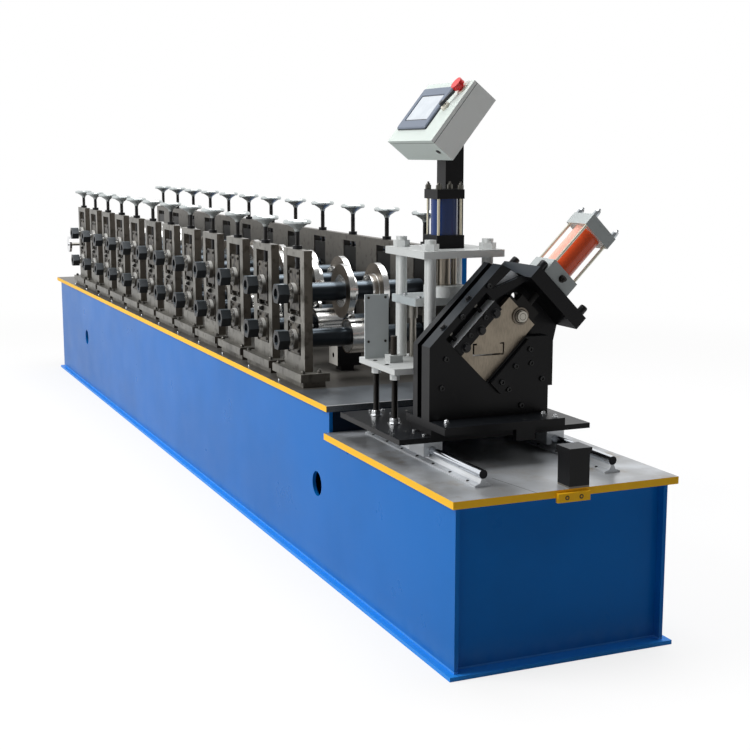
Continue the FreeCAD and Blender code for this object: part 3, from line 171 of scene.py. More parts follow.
class Nodes:
    """A node tree, and one way to add any node to it."""

    def __init__(self, tree):
        self.tree = tree

    def node(self, kind, settings=None, parts=(), output=0):
        """Add a node: its settings first, then the values or wires of its sockets."""
        made = self.tree.nodes.new(kind)
        for name, setting in (settings or {}).items():
            if name == "items":
                for missing in range(setting - len(made.index_switch_items)):
                    made.index_switch_items.new()
            else:
                setattr(made, name, setting)
        for key, part in parts.items() if isinstance(parts, dict) else enumerate(parts):
            if isinstance(part, Wire):
                self.tree.links.new(part.socket, made.inputs[key])
            elif part is not None:
                made.inputs[key].default_value = part
        return Wire(self, made.outputs[output])

    def maths(self, operation, *parts):
        return self.node("ShaderNodeMath", {"operation": operation}, parts)


print("node helpers ready")

# %% [markdown]
# ## A finish
#
# Each material starts as one plain finish, and other finishes are laid over it where a mask is 1: a mask
# is a sum of places and directions, such as "above this height" or "within this distance of the shaft".
# That suits a machine, where one casting is painted here and ground bright there, and it leaves the
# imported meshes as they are. Masks read Object coordinates, which on these pieces are metres in the room.

# %% A finish


class Finish(Nodes):
    """One material. Layers are laid over its first finish, and close() links the result."""

    def __init__(self, name, colour, rough, metal=0.0, coat=0.0, coat_rough=0.1, specular=0.5):
        self.material = bpy.data.materials.new(name)
        self.material.use_nodes = True
        super().__init__(self.material.node_tree)
        self.shader = self.tree.nodes["Principled BSDF"]
        self.shader.inputs["Coat Roughness"].default_value = coat_rough
        self.shader.inputs["Specular IOR Level"].default_value = specular
        self.tone, self.rough, self.metal, self.coat = colour, rough, metal, coat
        self.relief = []
        self.place = self.node("ShaderNodeTexCoord", output="Object")

    def axis(self, name):
        """One coordinate of each point of the surface, in metres."""
        return self.node("ShaderNodeSeparateXYZ", parts=[self.place], output=name)

    def facing(self, name):
        """How far the surface faces along an axis, from -1 to 1."""
        normal = self.node("ShaderNodeNewGeometry", output="Normal")
        return self.node("ShaderNodeSeparateXYZ", parts=[normal], output=name)

    def distance(self, first, second):
        """The length of a vector that has these two parts."""
        return (first * first + second * second).maths("SQRT")

    def along_station(self):
        """How far each point is along the machine from the middle of its own station."""
        start = station_x[0] - pitch * 1.5
        return (self.axis("X") - start).maths("MODULO", pitch) - pitch / 2

    def between(self, wire, low, high):
        return (wire > low) * (wire < high)

    def stretched(self, along, across, up):
        """Coordinates that are drawn out, so that noise on them becomes grain."""
        return self.node("ShaderNodeMapping", parts={
            "Vector": self.place, "Scale": (along, across, up)})

    def noise(self, scale, detail=3.0, place=None, rough=0.5):
        """Cloudy variation around a half, from 0 to 1."""
        return self.node("ShaderNodeTexNoise", parts={
            "Vector": place or self.place, "Scale": scale, "Detail": detail, "Roughness": rough})

    def ramp(self, wire, low, high):
        """0 below low, 1 above high, and a smooth rise between them."""
        return self.node("ShaderNodeMapRange", {"interpolation_type": "SMOOTHSTEP"}, {
            "Value": wire, "From Min": low, "From Max": high})

    def mix(self, amount, first, second):
        """A colour between two colours."""
        return self.node("ShaderNodeMix", {"data_type": "RGBA"}, {0: amount, 6: first, 7: second},
                         output=2)

    def over(self, mask, colour=None, rough=None, metal=None, coat=None):
        """Lay another finish over this one where mask is 1."""
        if colour is not None:
            self.tone = self.mix(mask, self.tone, colour)
        if rough is not None:
            self.rough = self.rough * (1 - mask) + mask * rough
        if metal is not None:
            self.metal = self.metal * (1 - mask) + mask * metal
        if coat is not None:
            self.coat = self.coat * (1 - mask) + mask * coat

    def clouds(self, scale, dark, amount=0.6, low=0.35, high=0.68):
        """Blotches of a darker colour."""
        self.tone = self.mix(self.ramp(self.noise(scale, 5.0), low, high) * amount, self.tone, dark)

    def bump(self, height, depth):
        """Relief of a given depth in metres. Several add up."""
        self.relief.append(height * depth)

    def close(self):
        """Set or link the sockets of the shader."""
        for name, part in (("Base Color", self.tone), ("Roughness", self.rough),
                           ("Metallic", self.metal), ("Coat Weight", self.coat)):
            if isinstance(part, Wire):
                self.tree.links.new(part.socket, self.shader.inputs[name])
            else:
                self.shader.inputs[name].default_value = part
        if self.relief:
            height = self.relief[0]
            for extra in self.relief[1:]:
                height = height + extra
            bent = self.node("ShaderNodeBump", parts={
                "Height": height, "Distance": 1.0, "Strength": 1.0})
            self.tree.links.new(bent.socket, self.shader.inputs["Normal"])
        return self.material


def dress(finish, *names):
    """Give a closed finish to CAD nodes."""
    material = finish.close()
    for name in names:
        for spot in nodes[name].material_slots:
            spot.material = material
        if not nodes[name].material_slots:
            nodes[name].data.materials.append(material)


print("finish helpers ready")

# %% [markdown]
# ## Enamel
#
# The base is welded from plate and sprayed with gloss enamel. Fresh enamel is not flat: it has a fine
# orange-peel skin, the colour drifts a little between passes of the gun, and dust settles near the
# floor. Roughness carries most of that, because it decides how the white room shows in the paint.

# %% Enamel


def enamel(name, colour, rough=0.35, drift=0.10, peel=0.00010, coat=0.0, specular=0.25):
    """Sprayed paint with an orange-peel skin and a slow drift of its colour."""
    finish = Finish(name, colour, rough, coat=coat, coat_rough=0.15, specular=specular)
    darker = tuple(part * (1 - drift * 2) for part in colour[:3]) + (1.0,)
    finish.clouds(2.2, darker)
    finish.rough = rough + (finish.noise(7.0, 5.0) - 0.5) * 0.14
    finish.bump(finish.noise(330.0, 2.0), peel)
    return finish


print("enamel ready")

# %% [markdown]
# ## Base
#
# One blue covers the welded base and the guard. The flange under it catches more light from the
# floor, so it is painted a paler blue. Along the weld above the flange a paler band is a painted
# highlight. The inside of the guard and the strip of its top beside the wall show through the windows
# of the wall, where they lie in shade, so a mask paints them near black as painted shade.

# %% Base
NEAR_BLACK = srgb(16, 17, 20)
BEAD_HIGHLIGHT = 6 * MM
DARK_STRIP = 70 * MM
SHEET = 1 * MM
DUST_HEIGHT = 100 * MM

base_blue = enamel("base_blue", srgb(10, 106, 188), 0.3, specular=0.07)
height = base_blue.axis("Z")
flange_top = box["bottom_flange"][1].z
base_blue.over(height < flange_top + 0.5 * MM, srgb(26, 146, 246), 0.3)
# Painted highlight: a paler band just above the flange marks the weld with painted light.
bead_highlight = base_blue.between(height, flange_top + 0.5 * MM, flange_top + BEAD_HIGHLIGHT)
base_blue.over(bead_highlight * 0.7, srgb(92, 176, 246), 0.25)

guard_low, guard_high = box["drive_guard"]
# Painted shade: the inside of the guard and the strip of its top beside the wall are painted near black
# where they lie in shade.
inside = (base_blue.between(height, TABLE, guard_high.z - SHEET)
          * base_blue.between(base_blue.axis("X"), guard_low.x + SHEET, guard_high.x - SHEET)
          * (base_blue.axis("Y") < guard_high.y - SHEET))
strip = ((height > TABLE) * (base_blue.facing("Z") > 0.5)
         * (base_blue.axis("Y") < guard_low.y + DARK_STRIP))
base_blue.over(inside.maths("MAXIMUM", strip), NEAR_BLACK, 0.6)

dusty = (1 - base_blue.ramp(height, 0.0, DUST_HEIGHT)) * base_blue.noise(26.0, 5.0)
base_blue.over(dusty * 0.4, srgb(92, 146, 202), 0.5)
dress(base_blue, "bottom_flange", "side_plates", "end_plates", "drive_guard")
# Painted shadow: the step riser lies in shadow under the carriage plate, so it is painted a near-black
# blue.
dress(enamel("riser_blue", srgb(8, 26, 46), 0.4, specular=0.1), "step_riser")
print("base painted")

# %% [markdown]
# ## Black paint
#
# The cut-off, the carriage, the post and the end stop are satin black. Black shows nothing but its
# shine, so its own colour is nearly nothing and its roughness is broken up by rubbed patches and oil.
# Faces that look up are painted a little paler and bluer as painted skylight, and flat ones carry small
# chips.

# %% Black paint


def black(name, rough=0.34, specular=0.16, painted_sky=0.2):
    """Satin black enamel, rubbed in places, with painted skylight that makes the faces that look up paler.
    """
    finish = enamel(name, srgb(15, 15, 17), rough, drift=0.2, peel=0.00016, specular=specular)
    rubbed = finish.ramp(finish.noise(14.0, 6.0, rough=0.7), 0.60, 0.78)
    finish.over(rubbed * 0.5, srgb(36, 36, 36), 0.5)
    # Painted skylight: faces that look up are painted paler and bluer.
    finish.over(finish.ramp(finish.facing("Z"), 0.3, 0.75) * painted_sky, srgb(46, 52, 58), 0.3)
    chips = finish.ramp(finish.noise(75.0, 3.0), 0.68, 0.74)
    finish.over(chips * (finish.facing("Z") > 0.8) * 0.7, srgb(150, 148, 142), 0.4)
    return finish


dress(black("black_paint"), "cutter_base", "cutter_back_plate", "carriage_plate")
dress(black("mount_paint", painted_sky=0.9), "cylinder_mount", "panel_post")
print("plain black pieces painted")

# %% [markdown]
# ## Gibs and cover of the cut-off
#
# A gib is the strip that guides the blade. The left one has a ground wall where the adjusting screws
# press, and where that wall looks up it is painted near white as a painted highlight. The cover beside it
# has a three-cornered pocket whose floor is painted near white as a painted sheen. Both lie on the
# slant, so their masks use the distances across and along the blade.

# %% Gibs and cover of the cut-off
GIB_WALL = -150 * MM
POCKET_SIDE = -118 * MM
POCKET_LOW, POCKET_HIGH = 184 * MM, 299 * MM
cover_face = box["cutter_front_plate"][1].x


def across_blade(finish):
    """The distances of each point across and along the blade."""
    level, height = finish.axis("Y") - VEE.y, finish.axis("Z") - VEE.z
    return level * ACROSS.y + height * ACROSS.z, level * ALONG.y + height * ALONG.z


gib_paint = black("gib_paint")
side, up = across_blade(gib_paint)
# Painted highlight: the ground wall of the left gib is painted near white where it looks up.
gib_paint.over((side < GIB_WALL) * (gib_paint.facing("Z") > 0.6), srgb(244, 247, 250), 0.4)
dress(gib_paint, "blade_gibs")

cover_paint = black("cover_paint", painted_sky=0.6)
side, up = across_blade(cover_paint)
below_face = cover_paint.between(cover_paint.axis("X"), cover_face - 26 * MM, cover_face - 0.5 * MM)
# Painted sheen: the floor of the pocket is painted near white, standing for the room's light seen in the
# glossy black.
pocket = below_face * (side < POCKET_SIDE) * (
    cover_paint.between(up, POCKET_LOW, POCKET_HIGH) * (cover_paint.facing("X") > 0.5))
cover_paint.over(pocket, srgb(246, 250, 255), 0.4)
dress(cover_paint, "cutter_front_plate")
print("cut-off painted")

# %% [markdown]
# ## End stop and strip guides
#
# The end stop is a black post with a ridged buffer, welded to the table, and the block bolted below it
# is yellow like the table's edges. The entry guide has ground jaws and a polished handwheel, the guide
# behind the last station a bright top on its flanks.

# %% End stop and strip guides
YELLOW = srgb(246, 188, 26)
BUFFER = 30 * MM
RIDGES = 2600
JAWS, WHEEL_SIDE = TABLE + 186 * MM, -288 * MM

stop_paint = black("stop_paint", painted_sky=0.6)
height = stop_paint.axis("Z")
weld = (height < EXIT_TABLE + 5 * MM) * (height > EXIT_TABLE - 2 * MM)
stop_paint.over(weld * 0.8, srgb(120, 116, 108), 0.4, 0.5)
buffer_mask = stop_paint.axis("X") < box["end_stop"][0].x + BUFFER
stop_paint.bump((stop_paint.axis("X") * RIDGES).maths("SINE") * buffer_mask, 0.0006)
past_table = stop_paint.axis("X") > box["exit_table"][1].x - 1 * MM
stop_paint.over(past_table * (height < EXIT_TABLE - 2 * MM), YELLOW, 0.4)
dress(stop_paint, "end_stop")

guide_paint = black("entry_guide_paint")
guide_paint.over(guide_paint.axis("Z") > JAWS, srgb(150, 148, 142), 0.35, 0.9)
guide_paint.over(guide_paint.axis("Y") < WHEEL_SIDE, srgb(225, 226, 228), 0.12, 1.0)
dress(guide_paint, "entry_guide")

block_paint = black("strip_guide_paint")
flank = block_paint.facing("Y").maths("ABSOLUTE") > 0.5
block_paint.over(flank * (block_paint.axis("Z") > TABLE + 22 * MM), srgb(176, 174, 168), 0.45)
dress(block_paint, "strip_guide")
print("end stop and guides painted")

# %% [markdown]
# ## Press
#
# The press frame wears a light grey enamel that has been brushed rather than sprayed, so its skin is
# coarser. Its legs, ram and punch block are bare steel: those are turned or ground faces that slide or
# carry a thread. Where no modelled thread stands on the legs, a sine wave in the relief stands for it.

# %% Press
PRESS_GREY = srgb(192, 195, 194)
DARK_STEEL = srgb(58, 56, 54)
GROUND_ROUGH, GROUND_METAL = 0.35, 0.85
press_low = box["press_lower_plate"][0].z
deck = box["punch_die"][0].z
leg_top = press_low - 26 * MM
SLIDE_LOW, SLIDE_PLATE, SLIDE_BLOCK = 919 * MM, 25 * MM, 58 * MM
THREAD_PITCH = 0.0025


def press_grey(name):
    """Brushed light grey enamel, with painted light on the faces that look to the exit."""
    finish = enamel(name, PRESS_GREY, 0.42, drift=0.06, peel=0.0)
    finish.bump(finish.noise(120.0, 4.0), 0.0005)
    finish.bump(finish.noise(420.0, 2.0), 0.0002)
    # Painted light: faces that look to the exit are painted nearly white.
    finish.over(finish.ramp(finish.facing("X"), 0.3, 0.8), srgb(244, 247, 246), 0.42)
    return finish


columns = press_grey("press_column_paint")
height = columns.axis("Z")
leg = height < leg_top
columns.over(leg, DARK_STEEL, 0.4, 0.7)
columns.bump((height * (2 * math.pi / THREAD_PITCH)).maths("SINE") * leg, 0.0004)
dress(columns, "press_columns")

plate = press_grey("press_plate_paint")
# Painted light: the shield above the deck wears the same grey paint, painted lighter.
plate.over(plate.axis("Z") > deck + 1 * MM, srgb(204, 210, 212), 0.45)
dress(plate, "press_lower_plate")
dress(press_grey("press_paint"), "press_top_plate")

slide = press_grey("punch_slide_paint")
height = slide.axis("Z")
punch = height < SLIDE_LOW
# The slide plate's other faces are a darker grey; its faces that look to the exit keep the painted light.
slide.over(slide.between(height, SLIDE_LOW, SLIDE_LOW + SLIDE_PLATE) * (slide.facing("X") < 0.5),
           srgb(162, 170, 172), 0.4)
slide.over(punch, srgb(140, 138, 132), GROUND_ROUGH, GROUND_METAL)
slide.over(height > SLIDE_LOW + SLIDE_BLOCK, srgb(150, 142, 130), GROUND_ROUGH, GROUND_METAL)
slide.bump(slide.noise(1.0, 4.0, slide.stretched(260.0, 260.0, 6.0)) * punch, 0.00006)
dress(slide, "punch_slide")
print("press painted")

# %% [markdown]
# ## Powder coat
#
# The control box has the fine textured powder coat of bought-in housings: a bump of small noise gives
# the texture. The dark gap of its lid runs round just behind the face. The box is tilted, so the depth
# behind its face is measured along the direction that points into it.

# %% Powder coat
BOX_TILT = math.radians(-38.6)
BOX_CORNER = Vector((2.249, -0.132, 1.415))
BOX_TURN = Matrix.Translation(BOX_CORNER) @ Matrix.Rotation(BOX_TILT, 4, "X")
LID_GAP = 11.2 * MM, 13.0 * MM

box_paint = enamel("box_paint", srgb(200, 209, 204), 0.5, drift=0.03, peel=0.0)
box_paint.bump(box_paint.noise(900.0, 2.0), 0.0003)
inward = BOX_TURN.to_3x3() @ Vector((0, 1, 0))
level, height = box_paint.axis("Y") - BOX_CORNER.y, box_paint.axis("Z") - BOX_CORNER.z
depth = level * inward.y + height * inward.z
into = box_paint.facing("Y") * inward.y + box_paint.facing("Z") * inward.z
# Painted light: the box's side that looks to the exit is painted nearly white.
box_paint.over(box_paint.facing("X") > 0.5, srgb(252, 255, 253), 0.5)
gap = box_paint.between(depth, *LID_GAP) * (1 - into.maths("ABSOLUTE") > 0.5)
box_paint.over(gap, srgb(70, 76, 72), 0.7)
dress(box_paint, "control_box")

button = enamel("button_red", srgb(214, 26, 30), 0.25, drift=0.04, peel=0.0, coat=0.4)
dress(button, "emergency_button")
print("box painted")

# %% [markdown]
# ## Cylinders
#
# Both cylinders are bought in: a honed tube between two square caps, held by four tie rods. Each is one
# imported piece, so masks pick out its parts: the tube by its distance from the cylinder's own axis, and
# the caps by where they lie along it.

# %% Cylinders
TIE_ROD_STEEL = srgb(206, 200, 178)
BLADE_LINE, BLADE_X = -0.054, 2.430
PRESS_TUBE, PRESS_ROD_ENDS = (1.132, 1.242), 1.2705
SHEAR_TUBE, SHEAR_ROD_ENDS = (0.394, 0.536), 0.5762

blue_tube = enamel("cylinder_blue", srgb(15, 15, 17), 0.4, specular=0.16)
height = blue_tube.axis("Z")
reach = blue_tube.distance(blue_tube.axis("X") - press_x, blue_tube.axis("Y") - press_y)
stretch = blue_tube.between(height, *PRESS_TUBE)
blue_tube.over(stretch, TIE_ROD_STEEL, 0.3, 0.5)
blue_tube.over(stretch * (reach < 42.5 * MM), srgb(24, 52, 108), 0.22, 0.0, 0.25)
blue_tube.over(height > PRESS_ROD_ENDS, srgb(86, 84, 78), 0.35, 0.8)
dress(blue_tube, "press_cylinder")

orange_tube = enamel("cylinder_orange", srgb(176, 182, 182), 0.35, drift=0.06)
side, up = across_blade(orange_tube)
reach = orange_tube.distance(side - BLADE_LINE, orange_tube.axis("X") - BLADE_X)
stretch = orange_tube.between(up, *SHEAR_TUBE)
orange_tube.over(stretch, srgb(214, 210, 194), 0.25, 0.6)
skin = stretch * (reach < 44 * MM)
orange_tube.over(skin, srgb(222, 82, 36), 0.25, 0.0, 0.3)
# Painted highlight: a pink band on the faces of the tube that look up and towards the entry stands for
# light.
towards_light = orange_tube.facing("Z") - orange_tube.facing("X") * 0.9
orange_tube.over(skin * orange_tube.ramp(towards_light, -0.12, 0.2), srgb(244, 180, 162), 0.3, 0.0)
orange_tube.over(up > SHEAR_ROD_ENDS, srgb(190, 196, 200), 0.25, 0.9)
dress(orange_tube, "shear_cylinder")
print("cylinders dressed")

# %% [markdown]
# ## Steel
#
# Bare steel is a metal shader whose look comes from its roughness: ground plate has fine grain along
# one direction, and oil and fingerprints break it up in clouds. The grain is noise on coordinates that
# are stretched in the direction of the grinding. The first pieces to wear it are the hard chromed rails
# and their aluminium supports, with the finest grain.

# %% Steel
LENGTHWAYS = 6.0, 240.0, 240.0
UPRIGHT = 240.0, 240.0, 8.0
TOOL_GRAIN = 240.0, 240.0, 60.0


def steel(name, colour, rough, grain=LENGTHWAYS, depth=0.00006, stain=0.35, metal=1.0, cloud=9.0):
    """Ground or milled steel with grain in one direction and cloudy stains."""
    finish = Finish(name, colour, rough, metal=metal, specular=0.2)
    scratches = finish.noise(1.0, 4.0, finish.stretched(*grain))
    blotches = finish.noise(cloud, 5.0)
    dark = tuple(part * (1 - stain) for part in colour[:3]) + (1.0,)
    finish.tone = finish.mix(finish.ramp(blotches * 0.6 + scratches * 0.4, 0.36, 0.62), dark, colour)
    finish.rough = rough + (scratches - 0.5) * 0.2 + (blotches - 0.5) * 0.2
    finish.bump(scratches, depth)
    return finish


rails = steel("rail_steel", srgb(226, 231, 238), 0.14, grain=(1.0, 200.0, 200.0), depth=0.00001,
              stain=0.1)
rails.over(rails.facing("X").maths("ABSOLUTE") > 0.7, srgb(40, 40, 42), 0.5)
dress(rails, "guide_rails")
aluminium = steel("support_aluminium", srgb(212, 215, 218), 0.34, grain=(3.0, 300.0, 300.0),
                  depth=0.00003, stain=0.15, metal=0.6)
dress(aluminium, "rail_supports", "rail_bearings")
print("rails dressed")

# %% [markdown]
# ## Tables
#
# The tables' edges are painted yellow as a warning, on the faces that look outwards, so a mask on the
# surface's direction paints them. The upper table is dark with oil between the stations. The exit table
# is cleaner: it is worn in patches, it is painted lighter and smoother along its middle as a painted
# sheen, and it shows the seam of a plate that was let into it.

# %% Tables
SEAM_X, SEAM_Y, SEAM_SLOPE, SEAM_START = 2.687, -0.132, 0.174, 2.66
SEAM_WIDTH = 1.2 * MM
SHEEN_BAND = 0.09, 0.16
STEP_EDGE = 18 * MM, 26 * MM

tables = steel("table_steel", srgb(122, 128, 134), 0.36, stain=0.5, metal=0.75, cloud=5.0)
along, across, height = tables.axis("X"), tables.axis("Y"), tables.axis("Z")
oiled = (along < station_x[-1] + pitch / 2) * (height > EXIT_TABLE + 1 * MM)
tables.over(oiled * 0.8, srgb(104, 99, 92), 0.4)

outward = tables.facing("Y").maths("ABSOLUTE") > 0.5
end = (along.maths("ABSOLUTE") > box["exit_table"][1].x - 1 * MM) * (
    tables.facing("X").maths("ABSOLUTE") > 0.5)
edge = outward.maths("MAXIMUM", end)
low_table = (height < EXIT_TABLE + 1 * MM) * (1 - edge)
patches = tables.ramp(tables.noise(7.0, 5.0), 0.35, 0.7)
tables.over(low_table, tables.mix(patches, srgb(150, 152, 154), srgb(190, 194, 199)), 0.32, 0.5)
worn = tables.ramp(tables.noise(11.0, 6.0, rough=0.65), 0.52, 0.72)
tables.over(low_table * worn * 0.7, srgb(142, 132, 118), 0.42)
# Painted sheen: the exit table is painted lighter and smoother along its middle.
middle_sheen = 1 - tables.ramp(across.maths("ABSOLUTE"), *SHEEN_BAND)
tables.over(low_table * middle_sheen * 0.45, srgb(214, 218, 222), 0.26)
seam = (across - SEAM_Y - (along - SEAM_X) * SEAM_SLOPE).maths("ABSOLUTE") < SEAM_WIDTH
tables.over(low_table * seam * (along > SEAM_START), srgb(84, 86, 88), 0.5)
riser = box["step_riser"][1].x
step_edge = tables.between(along, *[riser + reach for reach in STEP_EDGE])
tables.over(step_edge * (height > TABLE - 1 * MM), srgb(226, 228, 230), 0.3)
tables.over(edge, YELLOW, 0.45, 0.0)
dress(tables, "upper_table", "exit_table")
print("tables dressed")

# %% [markdown]
# ## Stands and bearing blocks
#
# The stands are milled plate that has stood in oil mist for years: dull, with painted shade that makes
# them darker and browner on the sides that face along the machine and darker on the drive side. The
# bearing blocks are darker still, with painted shade on the drive side too, and the round cap on each
# catches the light on its upper edge, which is a mask on the cap's direction.

# %% Stands and bearing blocks
DRIVE_SIDE = 0.19
CAP_DEPTH = 14 * MM
block_face = box["operator_bearing_blocks"][0].y + CAP_DEPTH

stands = steel("stand_steel", srgb(136, 134, 128), 0.42, UPRIGHT, 0.00008, stain=0.4, metal=0.8)
# Painted shade: the sides that face along the machine are painted darker and browner.
stands.over(stands.facing("X").maths("ABSOLUTE") > 0.5, srgb(104, 98, 90), 0.4)
# Painted shade: the stands on the drive side are painted darker.
stands.over((stands.axis("Y") > DRIVE_SIDE) * 0.8, srgb(104, 101, 96), 0.45)
stands.clouds(34.0, srgb(70, 66, 60), 0.6, 0.52, 0.68)
dress(stands, "operator_stands", "drive_stand_wall", "stand_feet")

blocks = steel("block_steel", srgb(106, 101, 93), 0.42, UPRIGHT, stain=0.5, metal=0.8)
blocks.clouds(42.0, srgb(36, 34, 32), 0.9, 0.46, 0.60)
cap = blocks.axis("Y") < block_face - 0.5 * MM
blocks.over(cap, srgb(92, 88, 82), 0.35, 0.6)
blocks.over(cap * blocks.ramp(blocks.facing("Z"), 0.0, 0.5), srgb(240, 240, 236), 0.3, 0.3)
# Painted shade: the bearing blocks on the drive side are painted nearly black.
blocks.over(blocks.axis("Y") > DRIVE_SIDE, srgb(34, 33, 32), 0.45)
dress(blocks, "operator_bearing_blocks", "drive_bearing_blocks")
print("stands dressed")

# %% [markdown]
# ## Blade, punch and die
#
# The tools are ground steel. The blade's bolt stands proud of its slab, so rings about the bolt's
# middle give the washer and the head their own tones, and a dark ring just outside the head is a painted
# shadow. Above the bolt the slab is painted dark: that is the black carrier there and the washer's
# painted shadow.
# The die's stud is painted like the press and has a dark, knurled top, which is another sine wave in
# the relief.

# %% Blade, punch and die
BOLT_UP, SLAB_FACE, CARRIER_AND_SHADOW_LINE = 0.213, 2.4432, 0.228
# The dark ring from 18 to 21 mm, just outside the head, is a painted shadow.
BOLT_RINGS = ((0, 27, srgb(112, 104, 94), 0.35), (18, 21, srgb(52, 48, 44), 0.5),
              (0, 17, srgb(172, 168, 158), 0.3), (9, 10.5, srgb(64, 60, 56), 0.5))
STUD_OFFSET, KNURL_HEIGHT, KNURLS = 140 * MM, 22.5 * MM, 2400

blade = steel("blade_steel", srgb(158, 147, 131), 0.4, TOOL_GRAIN, stain=0.3, metal=0.7, cloud=16.0)
side, up = across_blade(blade)
bolt_reach = blade.distance(side - BLADE_LINE, up - BOLT_UP)
proud = blade.axis("X") > SLAB_FACE
for low, high, colour, rough in BOLT_RINGS:
    blade.over(proud * blade.between(bolt_reach, low * MM, high * MM), colour, rough)
# Painted dark above the bolt: the black carrier and, below it, the washer's painted shadow.
blade.over(up > CARRIER_AND_SHADOW_LINE + proud, srgb(30, 29, 28), 0.45, 0.3)
dress(blade, "shear_blade")

die = steel("die_steel", srgb(150, 146, 138), 0.38, TOOL_GRAIN)
stud = die.axis("Y") < press_y - STUD_OFFSET
die.over(stud, PRESS_GREY, 0.42, 0.0)
die.over(stud * (die.axis("Z") > deck + KNURL_HEIGHT), srgb(52, 48, 44), 0.45, 0.8)
die.bump((die.axis("Z") * KNURLS).maths("SINE") * stud, 0.0004)
dress(die, "punch_die")
print("tools dressed")

# %% [markdown]
# ## Handwheels and rolls
#
# A handwheel is polished and chromed, its screw is black. The rolls are the brightest things on the
# machine: hardened, turned and polished on the rim, with duller faces, and the spacer sleeves between
# them are blued. Both are turned parts, so the masks are distances from their own axes, and the turning
# marks are rings about them.

# %% Handwheels and rolls
SCREW_LINES = -0.270, 0.220
SLEEVE = -0.252, 0.202
NUT_START, DISC_START = -0.3118, 0.25
stand_top = box["operator_stands"][1].z

wheels = Finish("handwheel_chrome", srgb(200, 206, 206), 0.2, metal=0.8)
# Painted shade: faces of the handwheels that look down are painted darker and duller.
wheels.over(wheels.facing("Z") < -0.35, srgb(158, 163, 162), 0.35, 0.4)
to_line = [(wheels.axis("Y") - line).maths("ABSOLUTE") for line in SCREW_LINES]
screw_reach = wheels.distance(wheels.along_station(), to_line[0].maths("MINIMUM", to_line[1]))
dark_part = (wheels.axis("Z") < stand_top + 14 * MM).maths("MAXIMUM", screw_reach < 9 * MM)
wheels.over(dark_part * (wheels.axis("Z") < stand_top + 92 * MM), srgb(26, 26, 28), 0.4, 0.6)
wheels.bump(wheels.noise(60.0, 3.0), 0.00002)
dress(wheels, "adjusting_handwheels")


def roll_finish(name, axis):
    """The finishes of a shaft and its rolls, by distance from the shaft's axis."""
    finish = Finish(name, srgb(214, 214, 212), 0.2, metal=1.0)
    across, upward = finish.axis("Y"), finish.facing("Z")
    reach = finish.distance(finish.along_station(), finish.axis("Z") - axis)
    face = finish.facing("Y").maths("ABSOLUTE") > 0.7
    finish.over(face * (reach > 58 * MM), srgb(122, 112, 100), 0.32)
    sleeve = (reach < 34.5 * MM) * finish.between(across, *SLEEVE)
    finish.over(sleeve, srgb(34, 40, 46), 0.3, 0.6)
    # Painted highlight: the upper side of each sleeve is painted lighter.
    finish.over(sleeve * finish.ramp(upward, 0.45, 0.98), srgb(92, 104, 114), 0.28)
    outside = (across < NUT_START).maths("MAXIMUM", across > DISC_START)
    finish.over(outside, srgb(20, 24, 28), 0.4, 0.3)
    # Painted highlight: faces of the nuts and shaft ends that look up are painted pale.
    finish.over(outside * finish.ramp(upward, 0.45, 0.75), srgb(138, 152, 162), 0.28, 0.7)
    finish.bump((reach * 5200).maths("SINE") * face, 0.00004)
    finish.bump(finish.noise(1.0, 3.0, finish.stretched(8.0, 900.0, 8.0)), 0.00004)
    finish.rough = finish.rough + (finish.noise(12.0, 4.0) - 0.5) * 0.16
    return finish


for row, axis in (("upper", upper_axis), ("lower", lower_axis)):
    shafts = [name for name in nodes if row + "_roll" in name]
    dress(roll_finish(row + "_roll_steel", axis), *shafts)
print("rolls dressed")

# %% [markdown]
# ## A lathe made of nodes
#
# Screws, nuts, washers and threads are all turned, and there are hundreds of them, so Geometry Nodes
# make them. The trick is a flat grid: its columns become the directions round an axis and its rows the
# steps of an outline, so moving its points turns it into any lathe-made shape. A row may also be drawn
# to a hexagon, by lengthening the radius towards six corners. The shape then stands on every point of a
# small mesh, along the direction that the point carries, with a random twist, as real screws have.

# %% A lathe made of nodes
SEED = 7
SHARP = 0.6


